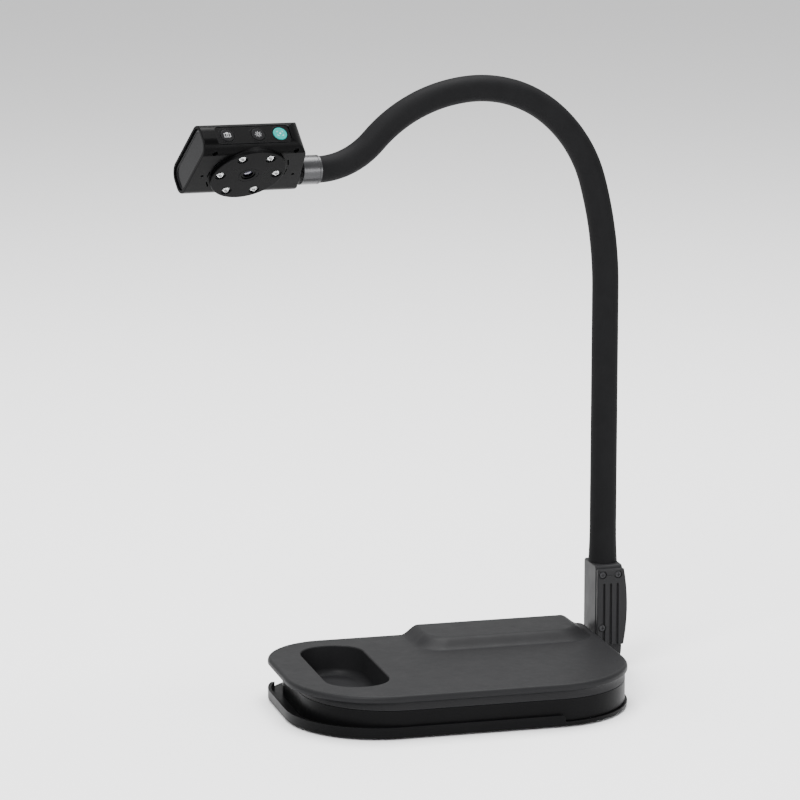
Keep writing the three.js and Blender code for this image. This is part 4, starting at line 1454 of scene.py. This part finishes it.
def cameraSign(x, z):
    # small camera: outlined box with a round lens and a bump on top
    line = buttonSizes["line"]
    sign = inkBar("snapshotSign", x, z, 2.2 * mm, 1.5 * mm)
    cutAway(sign, block("inside", (x - 2.2 * mm + line, 0, z - 1.5 * mm + line),
                        (x + 2.2 * mm - line, 50 * mm, z + 1.5 * mm - line)))
    weld(sign, inkBar("bump", x, z - 1.7 * mm, 0.8 * mm, 0.3 * mm))
    return weld(sign, inkRing("ring", x, z, 0.95 * mm, line))


def lampSign(x, z):
    # small lamp: a ring with short rays
    line = buttonSizes["line"]
    sign = inkRing("lampSign", x, z, 1.05 * mm, line)
    for number in range(8):
        angle = math.pi / 4 * number
        ray = inkBar("ray", 0, 0, 0.45 * mm, line / 2)
        ray.rotation_euler = (0, angle, 0)
        ray.location = (x + 1.85 * mm * math.cos(angle), 0, z - 1.85 * mm * math.sin(angle))
        weld(sign, settle(ray))
    return sign


def focusSign(x, z):
    # four corner brackets round a dot
    line = buttonSizes["line"]
    sign = inkRing("focusSign", x, z, 0.55 * mm, 0.5 * mm)
    for sideX in (-1, 1):
        for sideZ in (-1, 1):
            weld(sign, inkBar("bar", x + sideX * 1.5 * mm, z + sideZ * 1.7 * mm, 0.6 * mm, line / 2))
            weld(sign, inkBar("bar", x + sideX * 2.05 * mm, z + sideZ * 1.25 * mm, line / 2, 0.55 * mm))
    return sign


buttonPlan = (
    ("snapshot", "shell_plastic", buttonPlastic, cameraSign),
    ("lamp", "shell_plastic", buttonPlastic, lampSign),
    ("focus", "teal_plastic", tealPlastic, focusSign),
)
for buttonName, buttonSlot, buttonFinish, drawSign in buttonPlan:
    place = headSizes["buttons"][buttonName]
    bodyName = f"{buttonName}_button"
    button = makeButton(f"{buttonName}Button", place)
    handOver(placeInHead(button), bodyName, buttonFinish, [bodyName])
    sign = drawSign(place, headSizes["stripZ"])
    handOver(placeInHead(sign), bodyName, whiteInk)
print("buttons made")


def makeHeadScrews():
    first = screwModel("headScrewModel", 1.6 * mm, 1.0 * mm, 0.9 * mm, 3 * mm)
    for number, (x, y) in enumerate(headHoles["screws"], start=1):
        screw = moveBy(copyOf(first, f"headScrew_{number}"), (x, y, lensFace - 2 * mm))
        handOver(placeInHead(screw), "head", blackSteel, [f"head_screw_{number}"])
    bpy.data.objects.remove(first, do_unlink=True)


makeHeadScrews()

collarSizes = {"grooveAt": 11.4 * mm, "grooveWidth": 0.5 * mm, "grooveDepth": 0.3 * mm, "edge": 0.5 * mm,
               "stubRadius": 4.6 * mm, "stubLength": 9 * mm}


def makeCollar():
    # turned ferrule at the end of the neck, with the stub that the head turns on
    sizes = headSizes
    start = sizes["length"] + sizes["collarPlay"]
    end = start + sizes["collarLength"] - 0.3 * mm
    y, z = sizes["neckY"], sizes["neckZ"]
    collar = drum("neckCollar", sizes["collarRadius"], (start, y, z), (end, y, z), 96)
    grooveStart = start + collarSizes["grooveAt"]
    ring = drum("ring", sizes["collarRadius"] + 2 * mm, (grooveStart, y, z),
                (grooveStart + collarSizes["grooveWidth"], y, z), 96)
    cutAway(ring, drum("core", sizes["collarRadius"] - collarSizes["grooveDepth"], (start, y, z), (end, y, z), 96))
    cutAway(collar, ring)
    weld(collar, drum("stub", collarSizes["stubRadius"], (start - collarSizes["stubLength"], y, z),
                      (start + 1 * mm, y, z), 48))
    return soften(collar, collarSizes["edge"] * 0.3, 3)


handOver(placeInHead(makeCollar()), "link_8", collarMetal, ["neck_collar"])
print("collar made")


# ---- Inner pieces, whose shape stays as designed ----

innerFinishes = {
    steel: ("ballast_plate", "pivot_bracket", "pivot_shaft", "pivot_nut", "neck_clamp"),
    zinc: ("pivot_washer", "swivel_nut", "base_screw_1", "base_screw_2", "base_screw_3", "base_screw_4"),
    board: ("main_board", "led_board", "sensor_board", "switch_board"),
    capPlastic: ("pivot_bush",),
}
for finish, nodeNames in innerFinishes.items():
    for nodeName in nodeNames:
        node = frame["nodes"][nodeName]
        node.data.materials.clear()
        node.data.materials.append(finish)
print("inner pieces finished")
